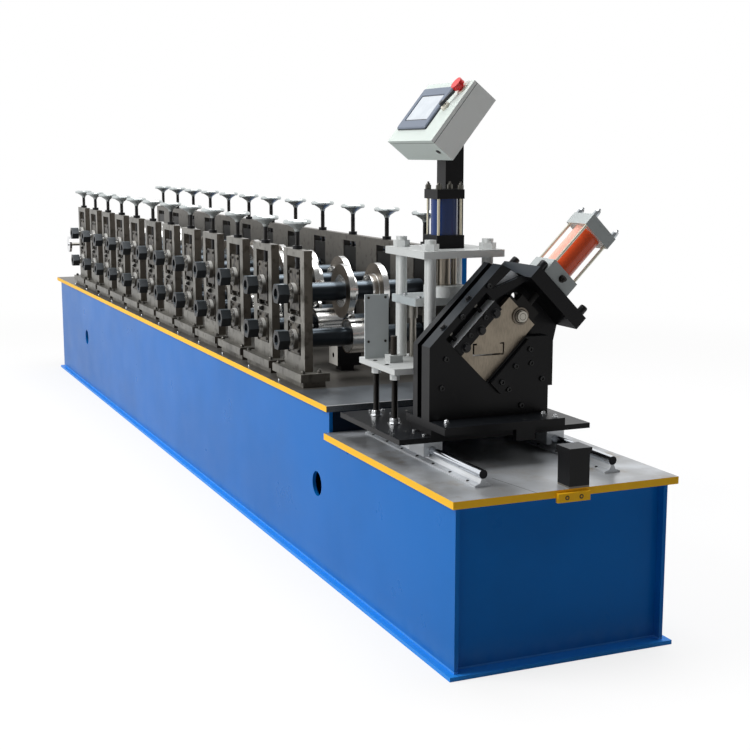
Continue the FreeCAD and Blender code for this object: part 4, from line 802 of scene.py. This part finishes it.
class Lathe(Nodes):
    """A Geometry Nodes tree that stands one turned piece on every point of a mesh."""

    def __init__(self, name, sides, sizes, shape):
        super().__init__(bpy.data.node_groups.new(name, "GeometryNodeTree"))
        self.tree.is_modifier = True
        roles = [("points", "Geometry"), *[(size, "Float") for size in sizes], ("finish", "Material")]
        for role, kind in roles:
            self.tree.interface.new_socket(role, in_out="INPUT", socket_type="NodeSocket" + kind)
        self.tree.interface.new_socket("pieces", in_out="OUTPUT", socket_type="NodeSocketGeometry")
        given = self.tree.nodes.new("NodeGroupInput")
        size = {role: Wire(self, given.outputs[role]) for role, kind in roles}
        self.index = self.node("GeometryNodeInputIndex")
        rows, ring_shape = shape(self, size)
        column = (self.index / rows).maths("FLOOR")
        ring = self.index.maths("MODULO", rows)
        angle = column * (2 * math.pi / sides)
        reach, height = ring_shape(ring, angle)
        grid = self.node("GeometryNodeMeshGrid", parts=(1.0, 1.0, sides + 1, rows))
        place = self.node("ShaderNodeCombineXYZ", parts=(
            reach * angle.maths("COSINE"), reach * angle.maths("SINE"), height))
        turned = self.node("GeometryNodeSetPosition", parts={"Geometry": grid, "Position": place})
        closed = self.node("GeometryNodeMergeByDistance", parts={0: turned, "Distance": 0.00001})
        smooth = self.node("GeometryNodeSetShadeSmooth", {"domain": "FACE"}, {0: closed, 2: True})
        creased = self.node("GeometryNodeInputMeshEdgeAngle") > SHARP
        shaded = self.node("GeometryNodeSetShadeSmooth", {"domain": "EDGE"}, {
            0: smooth, 1: creased, 2: False})
        axis = self.node("GeometryNodeInputNamedAttribute", {"data_type": "FLOAT_VECTOR"}, {
            "Name": "axis"})
        upright = self.node("FunctionNodeAlignRotationToVector", {"axis": "Z"}, {"Vector": axis})
        stood = self.node("GeometryNodeInstanceOnPoints", parts={
            "Points": size["points"], "Instance": shaded, "Rotation": upright})
        twist = self.node("FunctionNodeRandomValue", {"data_type": "FLOAT"}, {
            2: 0.0, 3: 2 * math.pi, 8: SEED}, output=1)
        twisted = self.node("GeometryNodeRotateInstances", parts={
            0: stood, 2: self.node("ShaderNodeCombineXYZ", parts={2: twist}), 4: True})
        real = self.node("GeometryNodeRealizeInstances", parts={0: twisted})
        done = self.node("GeometryNodeSetMaterial", parts={
            "Geometry": real, "Material": size["finish"]})
        end = self.tree.nodes.new("NodeGroupOutput")
        self.tree.links.new(done.socket, end.inputs[0])

    def pick(self, ring, values):
        """The value of the row whose number is ring."""
        return self.node("GeometryNodeIndexSwitch", {"data_type": "FLOAT", "items": len(values)},
                         {0: ring, **{row + 1: value for row, value in enumerate(values)}})

    def follow(self, rings):
        """The shape of a list of rows: radius, height, and 1 where the row is a hexagon."""

        def ring_shape(ring, angle):
            sector = angle.maths("MODULO", math.pi / 3) - math.pi / 6
            corner = math.cos(math.pi / 6) / sector.maths("COSINE")
            six = self.pick(ring, [float(row[2]) for row in rings])
            reach = self.pick(ring, [row[0] for row in rings]) * (1 + six * (corner - 1))
            return reach, self.pick(ring, [row[1] for row in rings])

        return len(rings), ring_shape


def screw_shape(lathe, size):
    """A socket screw: a round head with a bevel and a hexagon socket."""
    radius, height, socket = size["radius"], size["height"], size["socket"]
    return lathe.follow([(0.0, 0.0, 0), (radius, 0.0, 0), (radius, height * 0.86, 0),
                         (radius * 0.9, height, 0), (socket, height, 1), (socket, height * 0.4, 1),
                         (0.0, height * 0.4, 0)])


def nut_shape(lathe, size):
    """A hexagon nut on a washer, with the end of its stud."""
    washer, thick, corner = size["washer"], size["thick"], size["corner"]
    top = thick + size["height"]
    end = top + size["tip"]
    return lathe.follow([(0.0, 0.0, 0), (washer, 0.0, 0), (washer, thick, 0), (corner, thick, 1),
                         (corner, thick + size["height"] * 0.84, 1), (corner * 0.85, top, 0),
                         (size["stud"], top, 0), (size["stud"], end, 0), (0.0, end, 0)])


def thread_shape(lathe, size):
    """A threaded bar, drawn as rings of two radii in turn."""
    rows = size["rows"]

    def ring_shape(ring, angle):
        inside = (ring > 0.5) * (ring < rows - 1.5)
        level = (ring - 1).maths("MAXIMUM", 0.0).maths("MINIMUM", rows - 3)
        crest = ring.maths("MODULO", 2.0) * size["depth"]
        return (size["radius"] + crest) * inside, level * size["step"]

    return rows, ring_shape


socket_screw = Lathe("socket_screw", 12, ["radius", "height", "socket"], screw_shape)
hex_nut = Lathe("hex_nut", 12, ["washer", "thick", "corner", "height", "stud", "tip"], nut_shape)
fine_nut = Lathe("fine_nut", 24, ["washer", "thick", "corner", "height", "stud", "tip"], nut_shape)
thread_bar = Lathe("thread_bar", 14, ["radius", "depth", "step", "rows"], thread_shape)


def stand(name, lathe, body, slot, finish, spots, **sizes):
    """One piece made of a turned shape on every spot, which is a place and a direction."""
    places = bpy.data.meshes.new(name + "_places")
    places.from_pydata([spot[0] for spot in spots], [], [])
    directions = places.attributes.new("axis", "FLOAT_VECTOR", "POINT")
    directions.data.foreach_set("vector", [part for spot in spots for part in spot[1]])
    piece = bpy.data.objects.new(name, places)
    bpy.context.scene.collection.objects.link(piece)
    modifier = piece.modifiers.new("lathe", "NODES")
    modifier.node_group = lathe.tree
    sockets = {item.name: item.identifier for item in lathe.tree.interface.items_tree
               if item.in_out == "INPUT"}
    for role, size in sizes.items():
        modifier[sockets[role]] = float(size)
    modifier[sockets["finish"]] = finish
    ready = piece.evaluated_get(bpy.context.evaluated_depsgraph_get())
    plain = bpy.data.meshes.new_from_object(ready)
    piece.modifiers.remove(modifier)
    piece.data = plain
    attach(piece, body)
    print(name, len(spots), "pieces", len(plain.polygons), "faces")
    return piece


def screws(name, body, slot, finish, spots, radius, height=None):
    """Socket screws in their usual proportions."""
    return stand(name, socket_screw, body, slot, finish, spots, radius=radius, height=height or radius,
                 socket=radius * 0.58)


def nuts(name, body, slot, finish, spots, corner, tip=0.0, lathe=hex_nut, height=None, washer=1.35):
    """Hexagon nuts or heads on a washer. A tip above 0 is the end of the stud."""
    return stand(name, lathe, body, slot, finish, spots, washer=corner * washer, thick=corner * 0.16,
                 corner=corner, height=height or corner * 0.9, stud=corner * 0.5, tip=tip)


UP = (0, 0, 1)
OPERATOR, DRIVE = (0, -1, 0), (0, 1, 0)
EXIT, ENTRY = (1, 0, 0), (-1, 0, 0)
print("lathes ready")

# %% [markdown]
# ## Finishes of the small pieces
#
# Fasteners come in a few finishes: oil-blacked, zinc plated and bright. They are small, so one even
# colour with a little cloud is enough, and their shape carries the look.

# %% Finishes of the small pieces


def small(name, colour, rough, metal=0.9):
    """An even finish with a little cloud in its shine."""
    finish = Finish(name, colour, rough, metal=metal)
    finish.rough = rough + (finish.noise(80.0, 3.0) - 0.5) * 0.2
    return finish.close()


blacked = small("oil_blacked", srgb(44, 42, 40), 0.35, 0.7)
black_screw = black("black_screw", 0.3, 0.3).close()
blued = small("blued_steel", srgb(86, 84, 80), 0.3)
zinc = small("zinc_plated", srgb(196, 198, 200), 0.24)
bright = small("bright_steel", srgb(226, 226, 224), 0.16, 1.0)
print("small finishes ready")

# %% [markdown]
# ## Screws of the stations
#
# Every bearing block is held by four socket screws at its corners, and its round cap by four small ones.
# Each foot is bolted to its bed with four hexagon bolts. Between the two blocks a set screw goes through
# the stand's bar, with its bright point beside it, and one bright screw stands on the table before every
# foot. All the places repeat at the stations, so each is written once.

# %% Screws of the stations
BLOCK_ROWS = 0.697, 0.782, 0.833, 0.969
CAP_SCREW_REACH = 29.5 * MM
FOOT_LINES = -0.300, -0.240
BAR_MIDDLE = 0.8075
TABLE_SCREW_LINE = -0.330
THREAD_LOW, THREAD_STEP, WHEEL_DEPTH = 1.062, 1.25 * MM, 0.052
drive_face = box["drive_bearing_blocks"][1].y - CAP_DEPTH
foot_top = box["stand_feet"][1].z
stand_face = box["operator_stands"][0].y

corners = [(x + side * 38 * MM, z) for x in station_x for side in (-1, 1) for z in BLOCK_ROWS]
block_spots = [((x, block_face, z), OPERATOR) for x, z in corners]
block_spots += [((x, drive_face, z), DRIVE) for x, z in corners]
screws("block_screws", "base", "block_steel", blued, block_spots, 5.5 * MM)

cap_spots = []
for x in station_x:
    for axis in (lower_axis, upper_axis):
        for turn in (45, 135, 225, 315):
            angle = math.radians(turn)
            across = CAP_SCREW_REACH * math.cos(angle)
            up = CAP_SCREW_REACH * math.sin(angle)
            cap_spots += [((x + across, block_face - CAP_DEPTH, axis + up), OPERATOR),
                          ((x + across, drive_face + CAP_DEPTH, axis + up), DRIVE)]
screws("cap_screws", "base", "block_steel", zinc, cap_spots, 3.2 * MM)

foot_spots = [((x + side * 127 * MM, y, foot_top), UP) for x in station_x for side in (-1, 1)
              for y in FOOT_LINES]
nuts("foot_bolts", "base", "stand_steel", blued, foot_spots, 8 * MM, 3 * MM)
nuts("foot_set_nuts", "base", "stand_steel", blacked,
     [((x, stand_face, BAR_MIDDLE), OPERATOR) for x in station_x], 9 * MM, 5 * MM)
screws("foot_points", "base", "stand_steel", bright,
       [((x - 26 * MM, stand_face, BAR_MIDDLE), OPERATOR) for x in station_x], 4 * MM, 9 * MM)
screws("table_screws", "base", "stand_steel", zinc,
       [((x - 34 * MM, TABLE_SCREW_LINE, TABLE), UP) for x in station_x], 5 * MM, 7 * MM)

for side, line, top in zip(("operator", "drive"), SCREW_LINES, (1.150, 1.172)):
    rows = round((top - WHEEL_DEPTH - THREAD_LOW) / THREAD_STEP) + 3
    stand(side + "_screw_threads", thread_bar, "base", "handwheel_chrome", blacked,
          [((x, line, THREAD_LOW), UP) for x in station_x],
          radius=7.9 * MM, depth=0.9 * MM, step=THREAD_STEP, rows=rows)
print("station screws done")

# %% [markdown]
# ## Screws of the press and the carriage
#
# The press stands on four threaded legs, each with a bright nut where it enters the carriage. The shield
# is held by four small screws, the slide and the lower plate by socket screws let into them, and the
# carriage by four screws over each rail bearing.

# %% Screws of the press and the carriage
LEG_LINES = -0.232, 0.160
LEG_STEP = 1.5 * MM
SHIELD_OFFSET = 46 * MM
SLIDE_DECK = 0.943
PLUG_HEIGHTS = 1.112, 1.256
RAIL_LINE = 0.205
RAIL_SCREWS = 7

leg_spots = [((press_x + side * 70 * MM, y, CARRIAGE), UP) for side in (-1, 1) for y in LEG_LINES]
nuts("leg_nuts", "carriage", "press_paint", zinc, leg_spots, 16 * MM, 0.0, fine_nut)
leg_low = CARRIAGE + 14 * MM
stand("leg_threads", thread_bar, "carriage", "press_paint", blacked,
      [((place[0], place[1], leg_low), UP) for place, axis in leg_spots],
      radius=8.6 * MM, depth=1.4 * MM, step=LEG_STEP, rows=round((leg_top - leg_low) / LEG_STEP) + 3)

shield_face = box["press_lower_plate"][0].x + SHIELD_OFFSET
screws("shield_screws", "carriage", "press_paint", blued,
       [((shield_face, y, z), EXIT) for y in (-0.250, -0.193) for z in (0.800, 0.937)],
       4.2 * MM, 2.5 * MM)
screws("plate_screws", "carriage", "press_paint", blacked,
       [((x, y, deck), UP) for x in (2.100, 2.190) for y in (-0.247, 0.175)], 7 * MM, 2 * MM)
screws("slide_screws", "punch_slide", "press_paint", zinc,
       [((x, y, SLIDE_DECK), UP) for x in (2.072, 2.175) for y in (-0.133, 0.061)], 7.5 * MM, 6 * MM)
screws("die_screws", "carriage", "tool_steel", blued,
       [((press_x + side * 50 * MM, press_y + across * 50 * MM, deck + 50 * MM), UP)
        for side in (-1, 1) for across in (-1, 1)], 5 * MM, 4 * MM)

bearing_low, bearing_high = box["rail_bearings"]
bearing_x = [bearing_low.x + 50 * MM, bearing_high.x - 50 * MM]
carriage_spots = [((x + along * 34 * MM, side * (RAIL_LINE + across * 21 * MM), CARRIAGE), UP)
                  for x in bearing_x for along in (-1, 1) for side in (-1, 1) for across in (-1, 1)]
screws("carriage_screws", "carriage", "black_paint", zinc, carriage_spots, 6.5 * MM, 5 * MM)

support_low, support_high = box["rail_supports"]
rail_pitch = (support_high.x - support_low.x) / RAIL_SCREWS
rail_spots = [((support_low.x + (number + 0.5) * rail_pitch, side * RAIL_LINE + across * 19 * MM,
                EXIT_TABLE + 5 * MM), UP)
              for number in range(RAIL_SCREWS) for side in (-1, 1) for across in (-1, 1)]
screws("rail_screws", "base", "support_aluminium", blacked, rail_spots, 4.5 * MM, 4 * MM)

plug_face = box["press_cylinder"][0].x
nuts("cylinder_plugs", "carriage", "cylinder_blue", blacked,
     [((plug_face, press_y, height), ENTRY) for height in PLUG_HEIGHTS], 12 * MM, 4 * MM, fine_nut)
print("press screws done")

# %% [markdown]
# ## Screws of the cut-off
#
# The left gib is pressed on the blade by set screws and held by hexagon heads that overlap its edge, and
# two adjusting screws cross the open slot beside it. The right gib and the cover carry socket screws,
# and large ones hold the cylinder's mount at its corners. Their places are distances across and along
# the blade.

# %% Screws of the cut-off
GIB_FACE = 2.460
SLOT_X, SLOT_ROWS = 2.438, (24, 136)
MOUNT_TOP = 0.344
ROD_END, ROD_REACH = 0.589, 45 * MM
right_face = box["blade_gibs"][1].x
press_rod_end = box["press_cylinder"][1].z
base_top = box["cutter_base"][1].z


def on_face(x, places):
    """Spots on a face that looks to the exit end, from pairs of millimetres across and along."""
    return [(slanted(x, across * MM, along * MM), EXIT) for across, along in places]


def slot_spots(across, direction):
    """Spots on the two adjusting screws that cross the open slot."""
    return [(slanted(SLOT_X, across * MM, along * MM), direction) for along in SLOT_ROWS]


nuts("gib_bolts", "carriage", "black_paint", black_screw,
     on_face(GIB_FACE, [(-127, 26), (-127, 94), (-127, 160)]), 11 * MM, 0.0, fine_nut)
screws("gib_screws", "carriage", "black_paint", black_screw,
       on_face(GIB_FACE, [(-143, 60), (-143, 128), (-200, 80), (-200, 200)]), 7.5 * MM, 6 * MM)
screws("right_gib_screws", "carriage", "black_paint", black_screw,
       on_face(right_face, [(28, 30), (28, 93), (28, 160)]), 8 * MM, 7 * MM)
cover_places = [(66, 33), (66, 137), (128, 129), (132, 28), (-101, -108), (-150, -40)]
screws("cover_screws", "carriage", "black_paint", black_screw, on_face(cover_face, cover_places),
       8 * MM, 7 * MM)

stand("slot_screws", thread_bar, "carriage", "black_paint", black_screw, slot_spots(-191, ACROSS),
      radius=5 * MM, depth=0.8 * MM, step=1.0 * MM, rows=36)
nuts("slot_nuts", "carriage", "black_paint", blued, slot_spots(-191, ACROSS), 10 * MM, 0.0,
     height=8 * MM)
nuts("slot_heads", "carriage", "black_paint", black_screw, slot_spots(-212, -ACROSS), 9 * MM, 0.0)

mount_spots = [(slanted(x, across, MOUNT_TOP), ALONG) for x, across in
               ((2.298, -0.116), (2.470, -0.120), (2.298, 0.074), (2.470, 0.074))]
screws("mount_screws", "carriage", "black_paint", black_screw, mount_spots, 12.5 * MM, 26 * MM)
rod_spots = [(slanted(BLADE_X + x, BLADE_LINE + across, ROD_END), ALONG)
             for x in (-ROD_REACH, ROD_REACH) for across in (-ROD_REACH, ROD_REACH)]
nuts("shear_rod_ends", "carriage", "cylinder_orange", zinc, rod_spots, 9 * MM, 6 * MM, fine_nut,
     height=6 * MM, washer=0.98)
rod_spots = [((press_x + x, press_y + y, press_rod_end), UP)
             for x in (-0.037, 0.037) for y in (-0.037, 0.037)]
nuts("press_rod_ends", "carriage", "cylinder_blue", blued, rod_spots, 6.5 * MM, 5 * MM, fine_nut,
     height=4 * MM, washer=0.98)
nuts("shear_plug", "carriage", "cylinder_orange", blacked,
     [(slanted(box["shear_cylinder"][1].x, -0.050, 0.370), EXIT)], 8.5 * MM, 6 * MM, fine_nut,
     height=14 * MM)
nuts("base_nuts", "carriage", "black_paint", zinc,
     [((x, y, base_top), UP) for x, y in ((2.482, 0.128), (2.540, 0.134), (2.484, -0.190))],
     7 * MM, 2 * MM)
print("cut-off screws done")

# %% [markdown]
# ## Screws of the end stop and the guard
#
# The yellow block is held by two screws let into its face. The guard on the drive side comes off for
# oiling the chains, so it has a row of screws along its top and its bottom.

# %% Screws of the end stop and the guard
GUARD_SCREWS = 9
GUARD_EDGE = 22 * MM
STOP_SCREWS = -0.016, 0.028
stop_face = box["end_stop"][1].x

screws("stop_screws", "base", "black_paint", black_screw,
       [((stop_face - 1.2 * MM, y, 0.4715), EXIT) for y in STOP_SCREWS], 6.5 * MM, 2 * MM)
guard_spots = []
for number in range(GUARD_SCREWS):
    x = guard_low.x + (number + 0.5) * (guard_high.x - guard_low.x) / GUARD_SCREWS
    guard_spots += [((x, guard_high.y, z), DRIVE)
                    for z in (guard_low.z + GUARD_EDGE, guard_high.z - GUARD_EDGE)]
nuts("guard_screws", "base", "base_blue", zinc, guard_spots, 7 * MM, 0.0)
print("guard screws done")

# %% [markdown]
# ## Control box
#
# The things on the box are modelled flat, in the box's own directions, and the box's tilt is then put
# into each mesh. A frame or a knob is a stack of rounded rectangles, each a little smaller or further
# out than the last, which gives its bevels too. The first of them is the screen in its frame: a gasket,
# the bevelled frame, a thin rim and the glass.

# %% Control box
CORNER_POINTS = 5


def rounded_rectangle(half_wide, half_high, corner):
    """The points of a rectangle with rounded corners, anticlockwise."""
    points = []
    for number, (sx, sy) in enumerate(((1, 1), (-1, 1), (-1, -1), (1, -1))):
        for step in range(CORNER_POINTS):
            angle = math.pi / 2 * (number + step / (CORNER_POINTS - 1))
            points.append((sx * (half_wide - corner) + corner * math.cos(angle),
                           sy * (half_high - corner) + corner * math.sin(angle)))
    return points


def stack(name, body, finish, rows, turn, ring=False):
    """A closed piece through a stack of rounded rectangles: half sizes, corner and height of each.
    A ring runs from its last rectangle back to its first, so it has a hole."""
    shape = bmesh.new()
    rings = [[shape.verts.new((x, y, height)) for x, y in rounded_rectangle(wide, high, corner)]
             for wide, high, corner, height in rows]
    count = len(rings[0])
    for low, high in zip(rings, rings[1:] + rings[:1] if ring else rings[1:]):
        for number in range(count):
            after = (number + 1) % count
            shape.faces.new((low[number], low[after], high[after], high[number]))
    if not ring:
        shape.faces.new(list(reversed(rings[0])))
        shape.faces.new(rings[-1])
    shape.transform(turn)
    mesh = bpy.data.meshes.new(name)
    shape.to_mesh(mesh)
    shape.free()
    mesh.materials.append(finish)
    piece = bpy.data.objects.new(name, mesh)
    bpy.context.scene.collection.objects.link(piece)
    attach(piece, body)
    return piece


def box_spot(x, height, turn=0.0):
    """A place on the box's face, as a turn whose Z points out of the face."""
    place = Matrix.Translation((x * MM, 0, height * MM))
    to_face = Matrix.Rotation(math.radians(90), 4, "X")
    return BOX_TURN @ place @ to_face @ Matrix.Rotation(turn, 4, "Z")


def moulded(name, colour, rough, scale, depth):
    """Plastic or a coated frame, with the fine grain of its mould."""
    finish = Finish(name, colour, rough)
    finish.bump(finish.noise(scale, 2.0), depth)
    return finish.close()


frame_paint = moulded("screen_frame", srgb(100, 110, 126), 0.42, 600.0, 0.0001)
glass = Finish("screen_glass", srgb(196, 203, 210), 0.12, coat=0.5)
glass.clouds(24.0, srgb(176, 184, 194), 0.5)
dark_plastic = moulded("dark_plastic", srgb(30, 32, 38), 0.35, 500.0, 0.00008)
pale_plastic = moulded("pale_plastic", srgb(216, 212, 198), 0.35, 400.0, 0.00008)

SCREEN_SPOT = box_spot(-198, 124)
stack("screen_gasket", "carriage", dark_plastic,
      [(0.104, 0.081, 0.006, 0.0), (0.104, 0.081, 0.006, 0.002)], SCREEN_SPOT)
stack("screen_frame", "carriage", frame_paint,
      [(0.102, 0.079, 0.006, 0.0015), (0.102, 0.079, 0.006, 0.006), (0.099, 0.076, 0.005, 0.0085),
       (0.080, 0.050, 0.002, 0.0085), (0.078, 0.048, 0.001, 0.0055)], SCREEN_SPOT)
stack("screen_rim", "carriage", dark_plastic,
      [(0.0785, 0.0485, 0.001, 0.005), (0.0785, 0.0485, 0.001, 0.0062)], SCREEN_SPOT)
stack("screen", "carriage", glass.close(),
      [(0.0755, 0.0455, 0.001, 0.005), (0.0755, 0.0455, 0.001, 0.0068)], SCREEN_SPOT)
print("screen done")

# %% [markdown]
# ## Switch, button and lock
#
# Beside the screen are a switch with a long handle, which leans to the left, and the pale collar of the
# red button. The collar is a ring, because the button's neck slides through it. The lock is in the face
# below, and the hinges of the lid are on the left edge.

# %% Switch, button and lock
LEVER_LEAN = math.radians(-24)
LEVER_SPOT = box_spot(-66, 128, LEVER_LEAN)
stack("switch_base", "carriage", pale_plastic,
      [(0.0150, 0.0150, 0.0145, 0.0), (0.0150, 0.0150, 0.0145, 0.006), (0.0130, 0.0130, 0.0125, 0.009),
       (0.0080, 0.0080, 0.0075, 0.009), (0.0080, 0.0080, 0.0075, 0.013)], LEVER_SPOT)
stack("switch_handle", "carriage", dark_plastic,
      [(0.0035, 0.0290, 0.0030, 0.012), (0.0042, 0.0300, 0.0040, 0.014),
       (0.0042, 0.0300, 0.0040, 0.019), (0.0030, 0.0285, 0.0025, 0.021)], LEVER_SPOT @ Matrix.Translation((0, 0.022, 0)))
stack("switch_knob", "carriage", dark_plastic,
      [(0.0070, 0.0080, 0.0060, 0.012), (0.0075, 0.0085, 0.0065, 0.014),
       (0.0075, 0.0085, 0.0065, 0.021), (0.0060, 0.0070, 0.0050, 0.023)], LEVER_SPOT)
stack("button_collar", "carriage", pale_plastic,
      [(0.0210, 0.0210, 0.0205, 0.0), (0.0210, 0.0210, 0.0205, 0.0022),
       (0.0195, 0.0195, 0.0190, 0.0030), (0.0120, 0.0120, 0.0118, 0.0030),
       (0.0120, 0.0120, 0.0118, 0.0)], box_spot(-44, 196), ring=True)
LOCK_SPOT = BOX_TURN @ Matrix.Translation((-35 * MM, 52 * MM, 0)) @ Matrix.Rotation(math.pi, 4, "X")
stack("lock_rim", "carriage", blacked,
      [(0.0100, 0.0070, 0.0060, 0.0), (0.0100, 0.0070, 0.0060, 0.0015),
       (0.0080, 0.0050, 0.0045, 0.0020), (0.0075, 0.0045, 0.0040, 0.0008)], LOCK_SPOT)
hinge_turn = BOX_TURN @ Matrix.Translation((-319 * MM, 13 * MM, 0))
hinge_axis = BOX_TURN.to_3x3() @ Vector((0, 0, 1))
stand("box_hinges", fine_nut, "carriage", "box_paint", zinc,
      [(hinge_turn @ Vector((0, 0, z * MM)), hinge_axis) for z in (30, 170)],
      washer=3.2 * MM, thick=26 * MM, corner=2.6 * MM, height=1 * MM, stud=1 * MM, tip=0.0)
print("control box done")

# %% [markdown]
# ## Floor and light
#
# The picture is a product shot: a white room, a large soft light on the operator's side and a broad one
# overhead. The end of the base looks away from both and is clearly darker than its side, so the world
# also gives less from beyond the exit end. The camera and mirrors see plain white, from the world and
# from the floor, and the floor still takes a faint shadow.

# %% Floor and light
FLOOR_SIZE = 80.0
WORLD_LEVEL = 0.40
EXIT_SHADE = 0.24
SHADOW_SHARE = 0.20
BOUNCE = (0.45, 0.45, 0.45, 1.0)


def ray_kinds(tree):
    """1 where the ray comes from the camera, from a mirror or through glass."""
    path = tree.tree.nodes.new("ShaderNodeLightPath")
    return [Wire(tree, path.outputs["Is %s Ray" % kind])
            for kind in ("Camera", "Glossy", "Transmission")]


def studio_floor():
    """A white floor. The camera sees it mostly as white light, the rest shows the shadow."""
    mesh = bpy.data.meshes.new("floor")
    half = FLOOR_SIZE / 2
    mesh.from_pydata([(-half, -half, 0), (half, -half, 0), (half, half, 0), (-half, half, 0)], [],
                     [(0, 1, 2, 3)])
    floor = bpy.data.objects.new("floor", mesh)
    bpy.context.scene.collection.objects.link(floor)
    finish = Finish("floor_white", (0.88, 0.88, 0.88, 1.0), 0.9)
    camera_ray, mirror_ray, glass_ray = ray_kinds(finish)
    finish.tone = finish.mix(camera_ray, BOUNCE, (0.95, 0.95, 0.95, 1.0))
    mesh.materials.append(finish.close())
    seen = camera_ray.maths("MAXIMUM", mirror_ray).maths("MAXIMUM", glass_ray)
    away = finish.ramp(finish.distance(finish.axis("X"), finish.axis("Y")), 3.0, 6.5)
    share = seen * (1 - SHADOW_SHARE * (1 - away))
    glow = finish.node("ShaderNodeEmission", parts=((1, 1, 1, 1), 1.0))
    lit = Wire(finish, finish.shader.outputs[0])
    blend = finish.node("ShaderNodeMixShader", parts=(share, lit, glow))
    output = finish.tree.nodes["Material Output"]
    finish.tree.links.new(blend.socket, output.inputs["Surface"])


def white_room():
    """A world that is white to the camera, and lights softly, less so from the exit end."""
    world = bpy.data.worlds.new("room")
    bpy.context.scene.world = world
    world.use_nodes = True
    room = Nodes(world.node_tree)
    background = room.tree.nodes["Background"]
    background.inputs["Color"].default_value = (1, 1, 1, 1)
    camera_ray, mirror_ray, glass_ray = ray_kinds(room)
    mirror_ray = mirror_ray.maths("MAXIMUM", glass_ray)
    direction = room.node("ShaderNodeTexCoord", output="Generated")
    towards_exit = room.node("ShaderNodeSeparateXYZ", parts=[direction], output="X")
    shade = room.node("ShaderNodeMapRange", {"interpolation_type": "SMOOTHSTEP"}, {
        "Value": towards_exit, "From Min": -0.1, "From Max": 0.7, "To Min": 1.0, "To Max": EXIT_SHADE})
    soft = shade * (WORLD_LEVEL + mirror_ray * (1 - WORLD_LEVEL))
    room.tree.links.new((soft * (1 - camera_ray) + camera_ray).socket, background.inputs["Strength"])


def softbox(name, place, aim, size, watts):
    """A square area light at a place, aimed at a point."""
    lamp = bpy.data.lights.new(name, "AREA")
    lamp.energy = watts
    lamp.size = size
    thing = bpy.data.objects.new(name, lamp)
    thing.location = place
    thing.rotation_euler = (Vector(aim) - Vector(place)).to_track_quat("-Z", "Y").to_euler()
    bpy.context.scene.collection.objects.link(thing)


studio_floor()
white_room()
softbox("side_light", (0.0, -7.0, 4.6), (0, 0, 0.5), 4.5, 560)
softbox("top_light", (0.5, 1.0, 6.0), (0.5, 0, 0.6), 5.0, 330)
bpy.context.scene.view_settings.view_transform = "Standard"
print("room lit")
